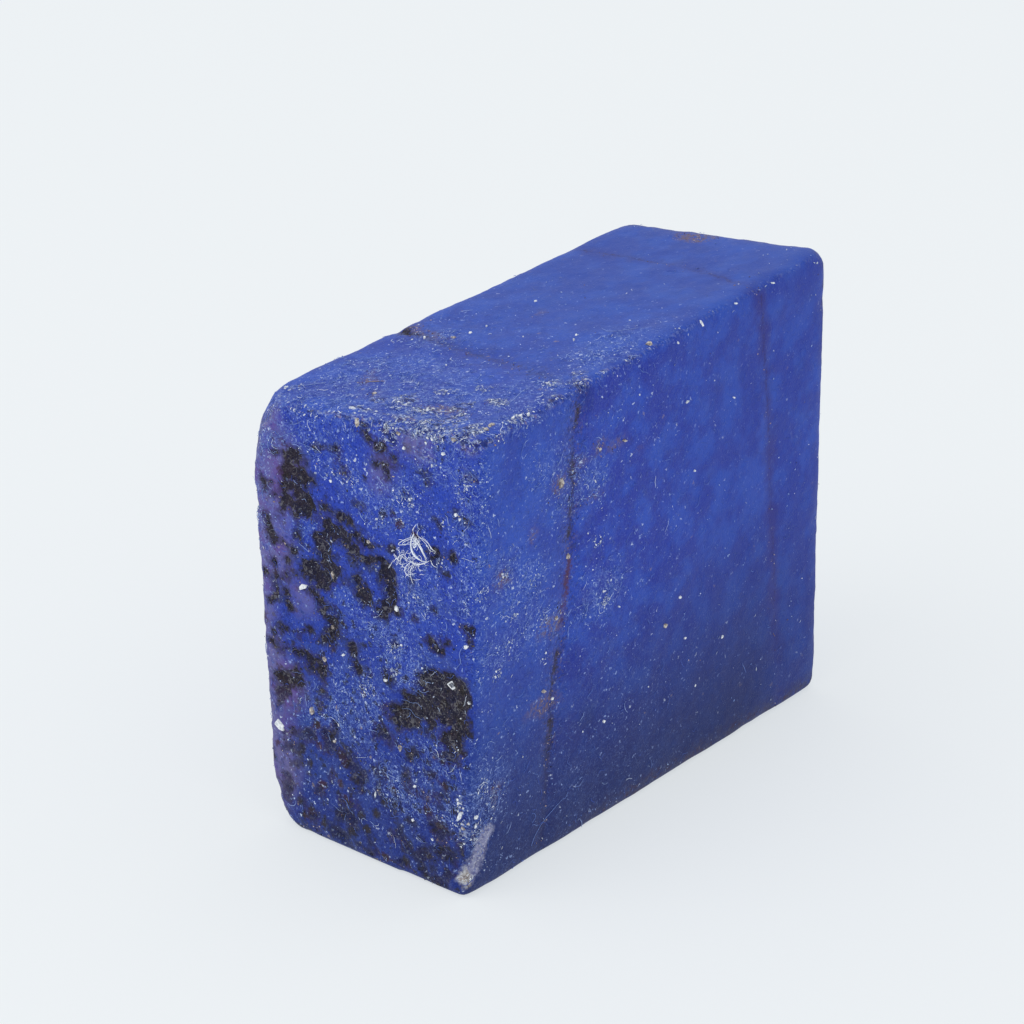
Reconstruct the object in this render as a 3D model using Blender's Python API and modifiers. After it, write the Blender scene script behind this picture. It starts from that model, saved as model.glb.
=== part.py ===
"""Rough sapphire: a sawn block of blue corundum with worn edges, two old fractures and rock pits.

Metres, +Z up. The origin is at the middle of the underside, which is the flat face that it rests on.
X runs along the two broad faces and Y through the thickness. The pitted end faces -X, and the
broad face with the two fractures faces -Y.
"""
from random import Random

import bpy
import bmesh
from mathutils import Matrix, Quaternion, Vector

MM = 0.001

# The eight corners of the block as it was sawn, in millimetres, keyed by their sides of X, Y and Z.
# The cuts aren't square: the block is thicker at the top, and its top falls towards the back.
CORNERS = {
    (-1, -1, -1): (-14.64, -6.58, 0.0),
    (-1, 1, -1): (-14.72, 6.10, 0.0),
    (1, -1, -1): (14.58, -5.84, 0.0),
    (1, 1, -1): (14.84, 5.28, 0.0),
    (-1, -1, 1): (-14.13, -7.48, 24.36),
    (-1, 1, 1): (-14.41, 7.54, 22.40),
    (1, -1, 1): (13.44, -6.52, 25.44),
    (1, 1, 1): (13.64, 6.65, 23.46),
}
UNDERCUT = 0.16          # the sawn blank reaches this far below the resting face, which is cut last

# Rounding of the twelve edges by wear, keyed by the two sides that meet there.
EDGE_WEAR = {
    (0, -1, 1): 0.35,
    (0, 1, 1): 0.45,
    (-1, 0, 1): 0.40,
    (1, 0, 1): 0.60,
    (-1, -1, 0): 0.35,
    (-1, 1, 0): 0.50,
    (1, -1, 0): 0.55,
    (1, 1, 0): 0.70,
    (0, -1, -1): 0.60,
    (0, 1, -1): 0.55,
    (-1, 0, -1): 0.60,
    (1, 0, -1): 0.60,
}

# Knocked corners: how far along X, Y and Z from the corner each break reaches.
CORNER_BREAKS = [
    ((-1, 1, 1), (1.3, 1.5, 6.5)),
    ((-1, 1, 1), (2.3, 2.2, 2.7)),
    ((-1, 1, 1), (3.0, 1.6, 1.1)),
    ((-1, 1, -1), (1.6, 1.9, 1.8)),
    ((1, -1, 1), (1.5, 1.3, 1.2)),
    ((1, 1, 1), (0.9, 0.9, 0.9)),
    ((1, -1, -1), (0.9, 0.8, 0.8)),
    ((1, 1, -1), (1.4, 1.3, 1.2)),
    ((-1, -1, 1), (0.4, 0.4, 0.4)),
    ((-1, -1, -1), (0.6, 0.6, 0.7)),
]

BREAK_BOX = 3.0          # a break's cutting box, as a multiple of its longest reach

# Pits of dark rock in the -X end: place along Y and Z, half width, half height, depth.
END_PITS = [
    (4.4, 20.2, 0.5, 0.5, 0.20),
    (4.0, 19.0, 0.7, 0.8, 0.30),
    (3.8, 17.8, 1.0, 0.6, 0.30),
    (1.9, 16.5, 1.0, 0.9, 0.35),
    (3.0, 14.4, 1.0, 0.8, 0.35),
    (1.6, 14.6, 0.7, 0.7, 0.25),
    (-0.9, 16.1, 0.8, 0.6, 0.25),
    (-1.6, 15.2, 0.6, 1.3, 0.30),
    (0.0, 14.5, 0.6, 0.8, 0.25),
    (2.1, 12.0, 0.5, 0.9, 0.25),
    (-5.2, 11.2, 1.5, 1.1, 0.35),
    (-3.4, 9.2, 1.5, 0.9, 0.30),
    (-6.0, 9.1, 0.6, 1.2, 0.25),
    (5.2, 7.9, 0.6, 1.0, 0.25),
    (3.9, 8.1, 0.5, 0.8, 0.20),
    (-1.6, 7.1, 0.6, 0.5, 0.20),
    (0.7, 5.3, 0.6, 0.5, 0.20),
    (5.0, 2.5, 0.6, 0.7, 0.20),
]

# Smaller pits scattered over the lower part of that end.
SMALL_PIT_SEED = 17
SMALL_PITS = 48
SMALL_PIT_SPREAD = ((-5.6, 5.0), (0.9, 12.5))
SMALL_PIT_SIZE = (0.25, 0.5)
SMALL_PIT_DEPTH = (0.08, 0.2)

# Hollows knocked out of the edges: centre, then half sizes.
HOLLOWS = [
    ((-4.2, 7.0, 23.3), (0.55, 1.5, 0.75)),       # back end of the main fracture, on the top edge
    ((-0.9, 7.2, 23.3), (0.9, 0.7, 0.55)),
    ((7.4, 7.1, 23.6), (1.3, 0.6, 0.5)),
    ((-11.2, 7.6, 22.7), (1.2, 0.6, 0.5)),
    ((-14.5, 7.6, 16.8), (1.8, 0.75, 0.6)),       # notch in the upright edge at the back of the end
    ((-14.8, 6.8, 1.0), (2.6, 1.2, 1.8)),         # stepped foot of that edge
    ((-14.7, -7.1, 2.6), (0.75, 0.8, 2.2)),       # pale chip up the front foot of the end
    ((13.9, -6.9, 19.3), (0.6, 0.6, 2.8)),
]

# The two old fractures where they cross the front and back faces (X, Z) and the top (X, Y).
MAIN_FRACTURE = {
    "front": [(-6.9, 24.7), (-7.4, 22.0), (-7.4, 15.7), (-7.8, 12.6), (-8.3, 9.0), (-8.8, 0.3)],
    "top": [(-6.9, -7.3), (-6.2, -3.5), (-5.6, -1.0), (-4.9, 2.8), (-4.2, 6.1), (-4.0, 7.6)],
    "back": [(-4.0, 23.4), (-4.6, 15.0), (-5.0, 8.0), (-5.9, 0.3)],
}
FINE_FRACTURE = {
    "front": [(7.4, 25.3), (8.4, 19.7), (9.3, 12.7), (10.1, 6.7), (11.0, 0.3)],
    "top": [(7.0, -6.9), (8.5, -0.8), (8.7, 3.1), (8.8, 7.1)],
    "back": [(8.8, 23.9), (9.8, 15.0), (11.6, 0.3)],
}
FRACTURE_WIDTH = {"main": 0.90, "fine": 0.60}
FRACTURE_DEPTH = {"main": 0.22, "fine": 0.10}

# Small nicks along the worn edges, longer along the edge than across it.
NICK_SEED = 41
NICKS_PER_MM = 0.55
NICK_SIZE = (0.25, 0.75)
NICK_STRETCH = (1.0, 1.8)
NICK_GIRTH = 0.7
NICK_BITE = (0.03, 0.15)
NICK_REACH = (0.04, 0.96)
EDGE_RETREAT = 0.41      # how far a rounded square edge draws back, as a share of its rounding

# Worn surface: the mesh grain, then the height and length of the saw's waves and of the crumb.
GRAIN = 0.30
SOFTENING_PASSES = 2
RELIEFS = {"saw waves": (0.17, 3.0), "crumb": (0.05, 0.8)}
TRIANGLE_SHARE = 0.125
RESTING_CUT = (60.0, 40.0, 10.0)

BLUE = (0.016, 0.034, 0.36, 1.0)
ROUGHNESS = 0.48


def clear_scene():
    for item in list(bpy.data.objects):
        bpy.data.objects.remove(item, do_unlink=True)


def new_collection(name, parent):
    collection = bpy.data.collections.new(name)
    parent.children.link(collection)
    return collection


def new_object(name, bm, collection):
    bmesh.ops.recalc_face_normals(bm, faces=bm.faces)
    mesh = bpy.data.meshes.new(name)
    bm.to_mesh(mesh)
    bm.free()
    item = bpy.data.objects.new(name, mesh)
    collection.objects.link(item)
    return item


def new_cutter(name, bm, collection):
    cutter = new_object(name, bm, collection)
    cutter.hide_render = True
    cutter.display_type = "WIRE"
    return cutter


def sapphire_material():
    material = bpy.data.materials.new("sapphire")
    material.use_nodes = True
    shader = material.node_tree.nodes["Principled BSDF"]
    shader.inputs["Base Color"].default_value = BLUE
    shader.inputs["Roughness"].default_value = ROUGHNESS
    shader.inputs["Metallic"].default_value = 0.0
    return material


def corner_place(sides):
    """A corner of the blank in millimetres; the underside starts a little low, to be cut flat."""
    x, y, z = CORNERS[sides]
    return Vector((x, y, z - UNDERCUT if sides[2] < 0 else z))


def on_block(x, y, z):
    """The point of the blank at the given shares, from -1 to 1, of its length, width and height."""
    place = Vector((0.0, 0.0, 0.0))
    for sides in CORNERS:
        share = 1.0
        for side, value in zip(sides, (x, y, z)):
            share *= (1.0 + side * value) / 2.0
        place += corner_place(sides) * share
    return place


def face_depth(axis, side, a, b):
    """Where a sawn face stands along its own axis, over two places in millimetres across it.

    The faces lean a little, so the shares that give those two places are found in a few steps.
    """
    others = [n for n in range(3) if n != axis]
    shares = [0.0, 0.0, 0.0]
    shares[axis] = side
    for _ in range(4):
        for other, target in zip(others, (a, b)):
            low, high = list(shares), list(shares)
            low[other], high[other] = -1.0, 1.0
            start, end = on_block(*low)[other], on_block(*high)[other]
            shares[other] = 2.0 * (target - start) / (end - start) - 1.0
    return on_block(*shares)[axis]


def sawn_blank(collection):
    """The block with its corners where the saw left them, and each edge marked with its wear."""
    bm = bmesh.new()
    bmesh.ops.create_cube(bm, size=2.0)
    wear = bm.edges.layers.float.new("bevel_weight_edge")
    widest = max(EDGE_WEAR.values())
    for edge in bm.edges:
        middle = (edge.verts[0].co + edge.verts[1].co) / 2.0
        edge[wear] = EDGE_WEAR[tuple(round(value) for value in middle)] / widest
    for vert in bm.verts:
        vert.co = corner_place(tuple(round(value) for value in vert.co)) * MM
    blank = new_object("stone", bm, collection)
    bevel = blank.modifiers.new("worn edges", "BEVEL")
    bevel.limit_method = "WEIGHT"
    bevel.width = widest * MM
    bevel.segments = 3
    return blank


def ellipsoids(name, shapes, collection):
    """One cutter of several ellipsoids, each given by its centre, half sizes and turn."""
    bm = bmesh.new()
    for centre, half_sizes, turn in shapes:
        ball = bmesh.ops.create_icosphere(bm, subdivisions=2, radius=1.0)
        size = Matrix.Diagonal(Vector(half_sizes) * MM).to_4x4()
        place = Matrix.Translation(Vector(centre) * MM) @ turn.to_matrix().to_4x4() @ size
        bmesh.ops.transform(bm, matrix=place, verts=ball["verts"])
    return new_cutter(name, bm, collection)


def corner_break(name, sides, reach, collection):
    """A flat break across one corner, as a box whose near face passes through the three reaches."""
    corner = corner_place(sides)
    outward = Vector([side / length for side, length in zip(sides, reach)]).normalized()
    depth = Vector((sides[0] * reach[0], 0.0, 0.0)).dot(outward)
    size = BREAK_BOX * max(reach)
    bm = bmesh.new()
    bmesh.ops.create_cube(bm, size=size * MM)
    centre = corner + outward * (size / 2.0 - depth)
    turn = outward.to_track_quat("Z", "Y").to_matrix().to_4x4()
    bmesh.ops.transform(bm, matrix=Matrix.Translation(centre * MM) @ turn, verts=bm.verts)
    return new_cutter(name, bm, collection)


def fracture(name, places, radius, collection):
    """A shallow channel along a fracture: a round rod laid in the surface, with closed ends."""
    curve = bpy.data.curves.new(name, "CURVE")
    curve.dimensions = "3D"
    curve.bevel_depth = radius * MM
    curve.bevel_resolution = 1
    curve.use_fill_caps = True
    spline = curve.splines.new("POLY")
    spline.points.add(len(places) - 1)
    for point, place in zip(spline.points, places):
        point.co = (*(place * MM), 1.0)
    rod = bpy.data.objects.new(name + " line", curve)
    collection.objects.link(rod)
    bpy.context.view_layer.update()
    mesh = bpy.data.meshes.new_from_object(rod.evaluated_get(bpy.context.evaluated_depsgraph_get()))
    bpy.data.objects.remove(rod, do_unlink=True)
    bm = bmesh.new()
    bm.from_mesh(mesh)
    bmesh.ops.remove_doubles(bm, verts=bm.verts, dist=0.00001)
    return new_cutter(name, bm, collection)


def cut_fractures(collection):
    """Lay each fracture's rods so that they sink to its depth and open to its width."""
    for kind, traces in (("main", MAIN_FRACTURE), ("fine", FINE_FRACTURE)):
        depth, half = FRACTURE_DEPTH[kind], FRACTURE_WIDTH[kind] / 2.0
        radius = (half * half + depth * depth) / (2.0 * depth)
        lift = radius - depth
        for face, trace in traces.items():
            if face == "top":
                places = [Vector((x, y, face_depth(2, 1, x, y) + lift)) for x, y in trace]
            else:
                side = 1 if face == "back" else -1
                places = [Vector((x, face_depth(1, side, x, z) + side * lift, z)) for x, z in trace]
            fracture(f"{kind} fracture {face}", places, radius, collection)


def cut_pits(collection):
    """Each pit is the near half of a shallow ellipsoid, so it keeps its width at the surface."""
    random = Random(SMALL_PIT_SEED)
    pits = list(END_PITS)
    for _ in range(SMALL_PITS):
        y, z = (random.uniform(*reach) for reach in SMALL_PIT_SPREAD)
        width, height = (random.uniform(*SMALL_PIT_SIZE) for _ in range(2))
        pits.append((y, z, width, height, random.uniform(*SMALL_PIT_DEPTH)))
    shapes = []
    for y, z, half_width, half_height, depth in pits:
        shapes.append(((face_depth(0, -1, y, z), y, z), (depth, half_width, half_height), Quaternion()))
    ellipsoids("pits", shapes, collection)


def cut_nicks(collection):
    """Small bites out of the worn edges, each sunk a little past the rounding of its edge."""
    random = Random(NICK_SEED)
    shapes = []
    for sides, wear in EDGE_WEAR.items():
        along = sides.index(0)
        ends = [on_block(*[end if n == along else side for n, side in enumerate(sides)]) for end in (-1, 1)]
        run = ends[1] - ends[0]
        outward = Vector(sides).normalized()
        for _ in range(int(run.length * NICKS_PER_MM)):
            size = random.uniform(*NICK_SIZE)
            girth = size * NICK_GIRTH
            bite = random.uniform(*NICK_BITE)
            place = ends[0] + run * random.uniform(*NICK_REACH)
            centre = place + outward * (girth - bite - wear * EDGE_RETREAT)
            half_sizes = (size * random.uniform(*NICK_STRETCH), girth, girth)
            shapes.append((centre, half_sizes, run.to_track_quat("X", "Z")))
    ellipsoids("nicks", shapes, collection)


def wave_texture(name, length):
    texture = bpy.data.textures.new(name, "CLOUDS")
    texture.noise_scale = length * MM
    texture.noise_depth = 2
    return texture


def wear_surface(stone, cutters):
    """Take the cuts out of the blank, then turn its sawn skin into a worn one and thin the mesh."""
    cut = stone.modifiers.new("breaks, pits and fractures", "BOOLEAN")
    cut.operation = "DIFFERENCE"
    cut.operand_type = "COLLECTION"
    cut.collection = cutters
    cut.use_self = True
    grain = stone.modifiers.new("grain", "REMESH")
    grain.mode = "VOXEL"
    grain.voxel_size = GRAIN * MM
    soften = stone.modifiers.new("softened", "SMOOTH")
    soften.factor = 0.5
    soften.iterations = SOFTENING_PASSES
    for name, (height, length) in RELIEFS.items():
        relief = stone.modifiers.new(name, "DISPLACE")
        relief.texture = wave_texture(name, length)
        relief.texture_coords = "LOCAL"
        relief.strength = height * MM
        relief.mid_level = 0.5
    thin = stone.modifiers.new("fewer faces", "DECIMATE")
    thin.ratio = TRIANGLE_SHARE


def flatten_underside(stone, collection):
    """The resting face: everything below the origin's level is cut away by one flat cut."""
    bm = bmesh.new()
    bmesh.ops.create_cube(bm, size=1.0)
    size = Vector(RESTING_CUT) * MM
    lowered = Matrix.Translation((0.0, 0.0, -size.z / 2.0))
    bmesh.ops.transform(bm, matrix=lowered @ Matrix.Diagonal(size).to_4x4(), verts=bm.verts)
    bed = new_cutter("resting cut", bm, collection)
    cut = stone.modifiers.new("flat underside", "BOOLEAN")
    cut.operation = "DIFFERENCE"
    cut.object = bed


def main():
    clear_scene()
    sapphire = new_collection("rough sapphire", bpy.context.scene.collection)
    cutters = new_collection("cutters", bpy.context.scene.collection)
    wear_cutters = new_collection("breaks, pits and fractures", cutters)
    stone = sawn_blank(sapphire)
    stone.data.materials.append(sapphire_material())
    for number, (sides, reach) in enumerate(CORNER_BREAKS, 1):
        corner_break(f"corner break {number}", sides, reach, wear_cutters)
    hollows = [(centre, half_sizes, Quaternion()) for centre, half_sizes in HOLLOWS]
    ellipsoids("hollows", hollows, wear_cutters)
    cut_pits(wear_cutters)
    cut_fractures(wear_cutters)
    cut_nicks(wear_cutters)
    wear_surface(stone, wear_cutters)
    flatten_underside(stone, cutters)


main()
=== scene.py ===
"""A sawn block of rough blue sapphire, with the dust, crumbs and lint that lie on it."""
import math
import bmesh
import bpy
import numpy as np
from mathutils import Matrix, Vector, noise
from mathutils.bvhtree import BVHTree


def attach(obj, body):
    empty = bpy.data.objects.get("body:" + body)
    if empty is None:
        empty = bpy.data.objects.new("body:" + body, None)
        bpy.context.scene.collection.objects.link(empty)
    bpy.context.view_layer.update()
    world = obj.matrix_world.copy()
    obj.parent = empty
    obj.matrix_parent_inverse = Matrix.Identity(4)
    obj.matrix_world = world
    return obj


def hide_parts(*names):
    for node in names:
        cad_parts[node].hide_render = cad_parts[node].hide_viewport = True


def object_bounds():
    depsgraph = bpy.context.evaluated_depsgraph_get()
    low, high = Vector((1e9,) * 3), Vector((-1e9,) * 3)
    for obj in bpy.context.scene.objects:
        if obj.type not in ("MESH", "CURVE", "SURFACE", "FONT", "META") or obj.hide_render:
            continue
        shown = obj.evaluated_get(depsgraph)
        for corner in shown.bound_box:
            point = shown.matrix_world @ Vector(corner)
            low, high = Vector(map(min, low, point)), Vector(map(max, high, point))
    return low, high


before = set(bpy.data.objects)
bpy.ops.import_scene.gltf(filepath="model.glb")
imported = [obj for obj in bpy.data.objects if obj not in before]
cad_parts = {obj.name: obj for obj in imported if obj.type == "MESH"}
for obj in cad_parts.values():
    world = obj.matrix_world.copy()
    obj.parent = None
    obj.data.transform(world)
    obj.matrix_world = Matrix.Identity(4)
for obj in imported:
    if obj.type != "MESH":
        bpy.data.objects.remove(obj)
cad_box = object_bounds()

# ---------------------------------------------------------------- tabletop, light and view
# The stone stands on a broad sheet of opal plastic that is lit from below as well, in
# a white tent. A large soft lamp at the left lays a faint shadow to the right of it.
MM = 0.001
BOARD_SIZE = 4000 * MM
BOARD_WHITE = (0.31, 0.31, 0.315, 1)
BOARD_GLOW = (0.925, 0.975, 1.0, 1)
BOARD_GLOW_STRENGTH = 0.608
TENT_WHITE = (0.955, 0.978, 1.0, 1)
TENT_STRENGTH = 0.88
LAMP_PLACE = Vector((-205, 75, 245)) * MM
LAMP_SIZE = 260 * MM
LAMP_POWER = 0.18
VIEW_FROM = Vector((-148.206, -123.722, 103.578)) * MM
VIEW_TO = Vector((-1.168, 1.966, 13.315)) * MM
LENS = 100
SENSOR = 24


def aimed(data, name, place, target):
    """An object with its -Z axis towards target and its +X axis level, as a camera stands."""
    thing = bpy.data.objects.new(name, data)
    bpy.context.scene.collection.objects.link(thing)
    thing.location = place
    thing.rotation_euler = (target - place).to_track_quat("-Z", "Y").to_euler()
    return thing


scene = bpy.context.scene
scene.view_settings.view_transform = "Standard"

camera_data = bpy.data.cameras.new("camera")
camera_data.lens = LENS
camera_data.sensor_width = SENSOR
camera_data.clip_start = 10 * MM
scene.camera = aimed(camera_data, "camera", VIEW_FROM, VIEW_TO)

lamp_data = bpy.data.lights.new("soft_lamp", "AREA")
lamp_data.shape = "DISK"
lamp_data.size = LAMP_SIZE
lamp_data.energy = LAMP_POWER
aimed(lamp_data, "soft_lamp", LAMP_PLACE, Vector((0, 0, 0)))

tent = bpy.data.worlds.new("white_tent")
tent.use_nodes = True
tent.node_tree.nodes["Background"].inputs["Color"].default_value = TENT_WHITE
tent.node_tree.nodes["Background"].inputs["Strength"].default_value = TENT_STRENGTH
scene.world = tent

bpy.ops.mesh.primitive_plane_add(size=BOARD_SIZE)
board = bpy.context.object
board.name = "white_board"
board_paint = bpy.data.materials.new("white_board")
board_paint.use_nodes = True
board_shader = board_paint.node_tree.nodes["Principled BSDF"]
board_shader.inputs["Base Color"].default_value = BOARD_WHITE
board_shader.inputs["Roughness"].default_value = 1.0
board_shader.inputs["Specular IOR Level"].default_value = 0.0
board_shader.inputs["Emission Color"].default_value = BOARD_GLOW
board_shader.inputs["Emission Strength"].default_value = BOARD_GLOW_STRENGTH
board.data.materials.append(board_paint)

# ---------------------------------------------------------------- the stone
# One block sawn from blue sapphire rough, about 30 by 15 by 25 mm, left satin from the
# saw. Its edges are worn, two healed fractures cross it, and black host rock fills
# ragged patches of the end at -X, where a violet skin of the crystal is left too.
CELL = 0.192 * MM                  # side of the quads of the surface
FACET_ROUNDS = 12                  # how far the flat sides are evened out
EDGE_KEEP = 0.35                   # share of that evening on worn edges and in pits
# Relief of the surface: distance over which it changes and height, in mm, and seed.
SAW_WAVE = (5.0, .035, 11)
SKIN_GRAIN = (.75, .020, 12)
FINE_GRAIN = (.42, .014, 13)
END_GRAIN = (.55, .065, 14)        # the end is coarser than the sawn sides
EDGE_CRUMBLE = (.55, .085, 15)
ROCK_ROUGH = (.38, .085, 16)
CRUST_ROUGH = (.42, .07, 17)
CHIP_ROUGH = (.42, .15, 18)
ROCK_DEPTH = .16                   # host rock lies this much lower, in mm,
CHIP_DEPTH = .10                   # and so does the chip at the foot,
CRUST_HEIGHT = .03                 # but crust lies this much higher
# How far the outlines of all that is placed below wander, in the same way.
WARP_ACROSS = (1.1, .30, 1)
WARP_UP = (1.1, .30, 2)
RAGGED_ROCK = (.48, .26, 3)
FRACTURE_WANDER = (.7, .16, 4)
CHIP_EDGE = (.5, .16, 19)
VIOLET_EDGE = (2.2, .40, 21)

SIDES = ("end", "far end", "front", "back", "underside", "top")     # at -X, +X, -Y, +Y, -Z, +Z
# The two axes that places on a side are given along, and the lower left corner of the side, in
# mm, where the skin is laid out flat as the six sides of a box.
LAYOUT = {
    "front": (0, 2, 15.2, .8), "back": (0, 2, 46.6, .8), "top": (0, 1, 15.2, 34.6),
    "underside": (0, 1, 46.6, 34.6), "end": (1, 2, 8.0, 42.9), "far end": (1, 2, 26.0, 42.9),
}
SHEET = 69.0                       # width of the whole layout, in mm

# Ovals of host rock on the end: y, z, half width and half height, in mm.
ROCK_ON_END = (
    (4.4, 20.25, .75, .38), (5.3, 20.2, .24, .22), (4, 19.2, .8, .45), (4.5, 19.4, .45, .32),
    (4.6, 18.6, .6, .28), (4, 18.3, .35, .5), (3.6, 17.85, .75, .58), (4.55, 17.5, .48, .42),
    (2.3, 17.9, .48, .2), (6.3, 18.3, .26, .24), (5.2, 17.8, .32, .18),
    (1, 17.85, .36, .3), (1.9, 16.9, .7, .52), (2.45, 16.2, .45, .52), (1.2, 17.05, .5, .4),
    (.65, 16.6, .36, .5), (.3, 16.15, .42, .32), (2.2, 15.6, .36, .55), (1.75, 15, .34, .4),
    (.35, 17.4, .5, .22), (-.4, 17.2, .42, .2), (-.3, 16.4, .34, .22), (-.9, 16.2, .5, .26),
    (-1.45, 15.7, .34, .55), (-1.7, 15, .34, .55), (-1.6, 14.4, .36, .4), (-1.25, 13.8, .45, .5),
    (3.3, 14.45, .8, .5), (2.6, 14.2, .6, .44), (3.8, 14.6, .3, .3), (2, 14.6, .42, .42),
    (.3, 14.7, .3, .45), (-.1, 14.2, .44, .38), (4.35, 15.3, .2, .2), (5.3, 15.65, .36, .13),
    (6, 16.1, .2, .24), (5.9, 15.5, .16, .16), (6.4, 13.4, .3, .2), (5.4, 13.7, .3, .14),
    (2.7, 12.95, .34, .34), (3, 13.3, .2, .2), (5.5, 12.5, .3, .34), (6, 12.1, .3, .2),
    (4.8, 12.3, .2, .28), (2, 12.35, .5, .28), (1.95, 11.6, .44, .55), (2.5, 11.2, .28, .2),
    (.45, 11, .3, .42), (.3, 10.35, .34, .38), (.75, 11.4, .2, .2), (-.5, 10.5, .16, .16),
    (-.35, 22.4, .26, .2), (-1.2, 22.2, .3, .24), (-2, 21.7, .2, .14), (-1.1, 21.5, .3, .22),
    (-1.65, 20.95, .24, .26), (-.3, 23.3, .24, .2), (2.9, 21.15, .22, .1),
    (-4.6, 17.7, .2, .36), (-4.6, 13, .42, .26), (-5.2, 13.4, .24, .2),
    (-5.4, 11, 1.45, .9), (-4.2, 10.9, .85, .7), (-6.1, 10.8, .8, 1), (-5, 10.2, 1.1, .7),
    (-3.7, 9.4, 1.2, .8), (-2.7, 8.7, .95, .65), (-4.7, 9.7, .9, .6), (-2.2, 8.2, .5, .3),
    (-5.95, 9.5, .75, 1), (-5.8, 8.4, .6, .6), (-5.5, 7.6, .44, .32),
    (-1.7, 7.1, .44, .28), (-1.3, 7.4, .36, .28), (-3.3, 6.7, .34, .28), (-4.4, 6.2, .36, .18),
    (-5.2, 5.4, .3, .24), (1.8, 6.6, .24, .28), (2.2, 5.9, .4, .28), (3.5, 5.5, .56, .24),
    (2.3, 5.15, .24, .18), (.9, 5.3, .28, .28), (.75, 4.9, .28, .24), (.5, 4.1, .34, .38),
    (-3.9, 4.8, .58, .12), (-4.2, 4, .18, .36), (-4.4, 3.2, .28, .28), (-5.4, 3.3, .34, .18),
    (-4.8, 3, .38, .14), (-5.4, 2.2, .52, .34), (-2.5, 2.1, .22, .28), (1, 2, .58, .36),
    (.5, 2.8, .28, .18), (-3.8, 1.5, .46, .28), (3.5, 1.3, .34, .28), (1.8, .9, .28, .22),
    (4.2, 8.5, .34, .34), (4.2, 8, .34, .46), (5, 8.1, .7, .36), (5.4, 9.7, .52, .22),
    (3.3, 9.8, .34, .46), (2.8, 9.6, .28, .38), (3.8, 9.9, .28, .26), (4.3, 4.6, .24, .14),
    (-2.7, 5.4, .24, .36), (-1.85, 3.3, .24, .24), (5.1, 2.3, .34, .62), (5.3, 7.2, .4, .46),
)
# Islands of blue left inside the rock.
BLUE_ON_END = ((1.2, 16.1, .46, .4), (.9, 15.3, .5, .4), (-3, 10.1, .45, .25))
# Violet skin of the crystal on the end, in the same way.
VIOLET_ON_END = (
    (7, 16, 1.5, 4.6), (6.6, 9.5, 1.1, 4.5), (5, 19.6, 1.3, 1.6), (5.6, 18, 1.5, 1.2),
    (6.3, 22, .9, 1.7), (5.3, 7.6, 1.5, 1.5), (5.6, 3.4, 1.3, 2.8), (-1.3, 21.3, .9, 1.2),
    (5.4, 14.8, 1.2, 1.8), (-3.3, 23.2, .9, .9), (-6.2, 24, .8, .5), (3.8, 12.9, .9, .7),
)
# Specks of rock lie ever thicker towards the foot of the end.
SPECK_COUNT = 170
SPECK_SIZE = (.07, .2)             # half width, in mm
SPECK_SPREAD = (-6.8, 6.4)         # they lie from here to here along y,
SPECK_TOP = 24                     # and from the foot up to here, in mm
SPECK_CROWDING = 1.9               # power that draws them to the foot
# The same rock reaches round the violet edge to the back: x, z and half sizes, in mm.
ROCK_ON_BACK = (
    (-13.6, 18.6, .44, .36), (-12.9, 17.3, .3, .44), (-13.8, 14.8, .36, .28), (-12.2, 12.6, .42, .24),
    (-13.2, 11.2, .28, .38), (-11.4, 9.6, .26, .18), (-13.7, 8.2, .4, .5), (-12.4, 6.9, .3, .2),
    (-13.4, 4.6, .34, .3), (-10.6, 15.6, .18, .14), (-11.6, 3.6, .22, .18), (-12.8, 2.2, .3, .2),
)
BACK_SATELLITES = 5                # smaller patches about each of these
# The violet skin goes on there, and a little rock shows on the far end and on the top.
VIOLET_ON_BACK = (
    (-14.8, 14, 2, 7), (-14.6, 5.5, 2.4, 4.2), (-13.8, 20, 1.2, 1.3), (-12.6, 15.6, 1, 1.3),
    (-12.3, 10.2, 1.1, .8), (-12.2, 4.6, 1.2, 1.4), (-11.2, 7, .6, .5), (-11.6, 13, .5, .7),
)
ROCK_ON_FAR_END = (
    (2.6, 6.4, .4, .3), (-1.8, 3.4, .34, .4), (3.9, 15.2, .26, .24), (-3.6, 10.6, .24, .3),
)
ROCK_ON_TOP = ((-3.9, 6.7, .3, .45), (-4.3, 5.9, .16, .4))

# Healed fractures: (x, z) down the front, (x, y) over the top, (x, z) down the back, in mm.
MAIN_FRACTURE = {
    "front": ((-6.9, 24.7), (-7.4, 22), (-7.4, 15.7), (-7.8, 12.6), (-8.3, 9), (-8.8, .3)),
    "top": ((-6.9, -7.3), (-6.2, -3.5), (-5.6, -1), (-4.9, 2.8), (-4.2, 6.1), (-4, 7.6)),
    "back": ((-4, 23.4), (-4.6, 15), (-5, 8), (-5.9, .3)),
}
FINE_FRACTURE = {
    "front": ((7.4, 25.3), (8.4, 19.7), (9.3, 12.7), (10.1, 6.7), (11, .3)),
    "top": ((7, -6.9), (8.5, -.8), (8.7, 3.1), (8.8, 7.1)),
    "back": ((8.8, 23.9), (9.8, 15), (11.6, .3)),
}

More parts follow.
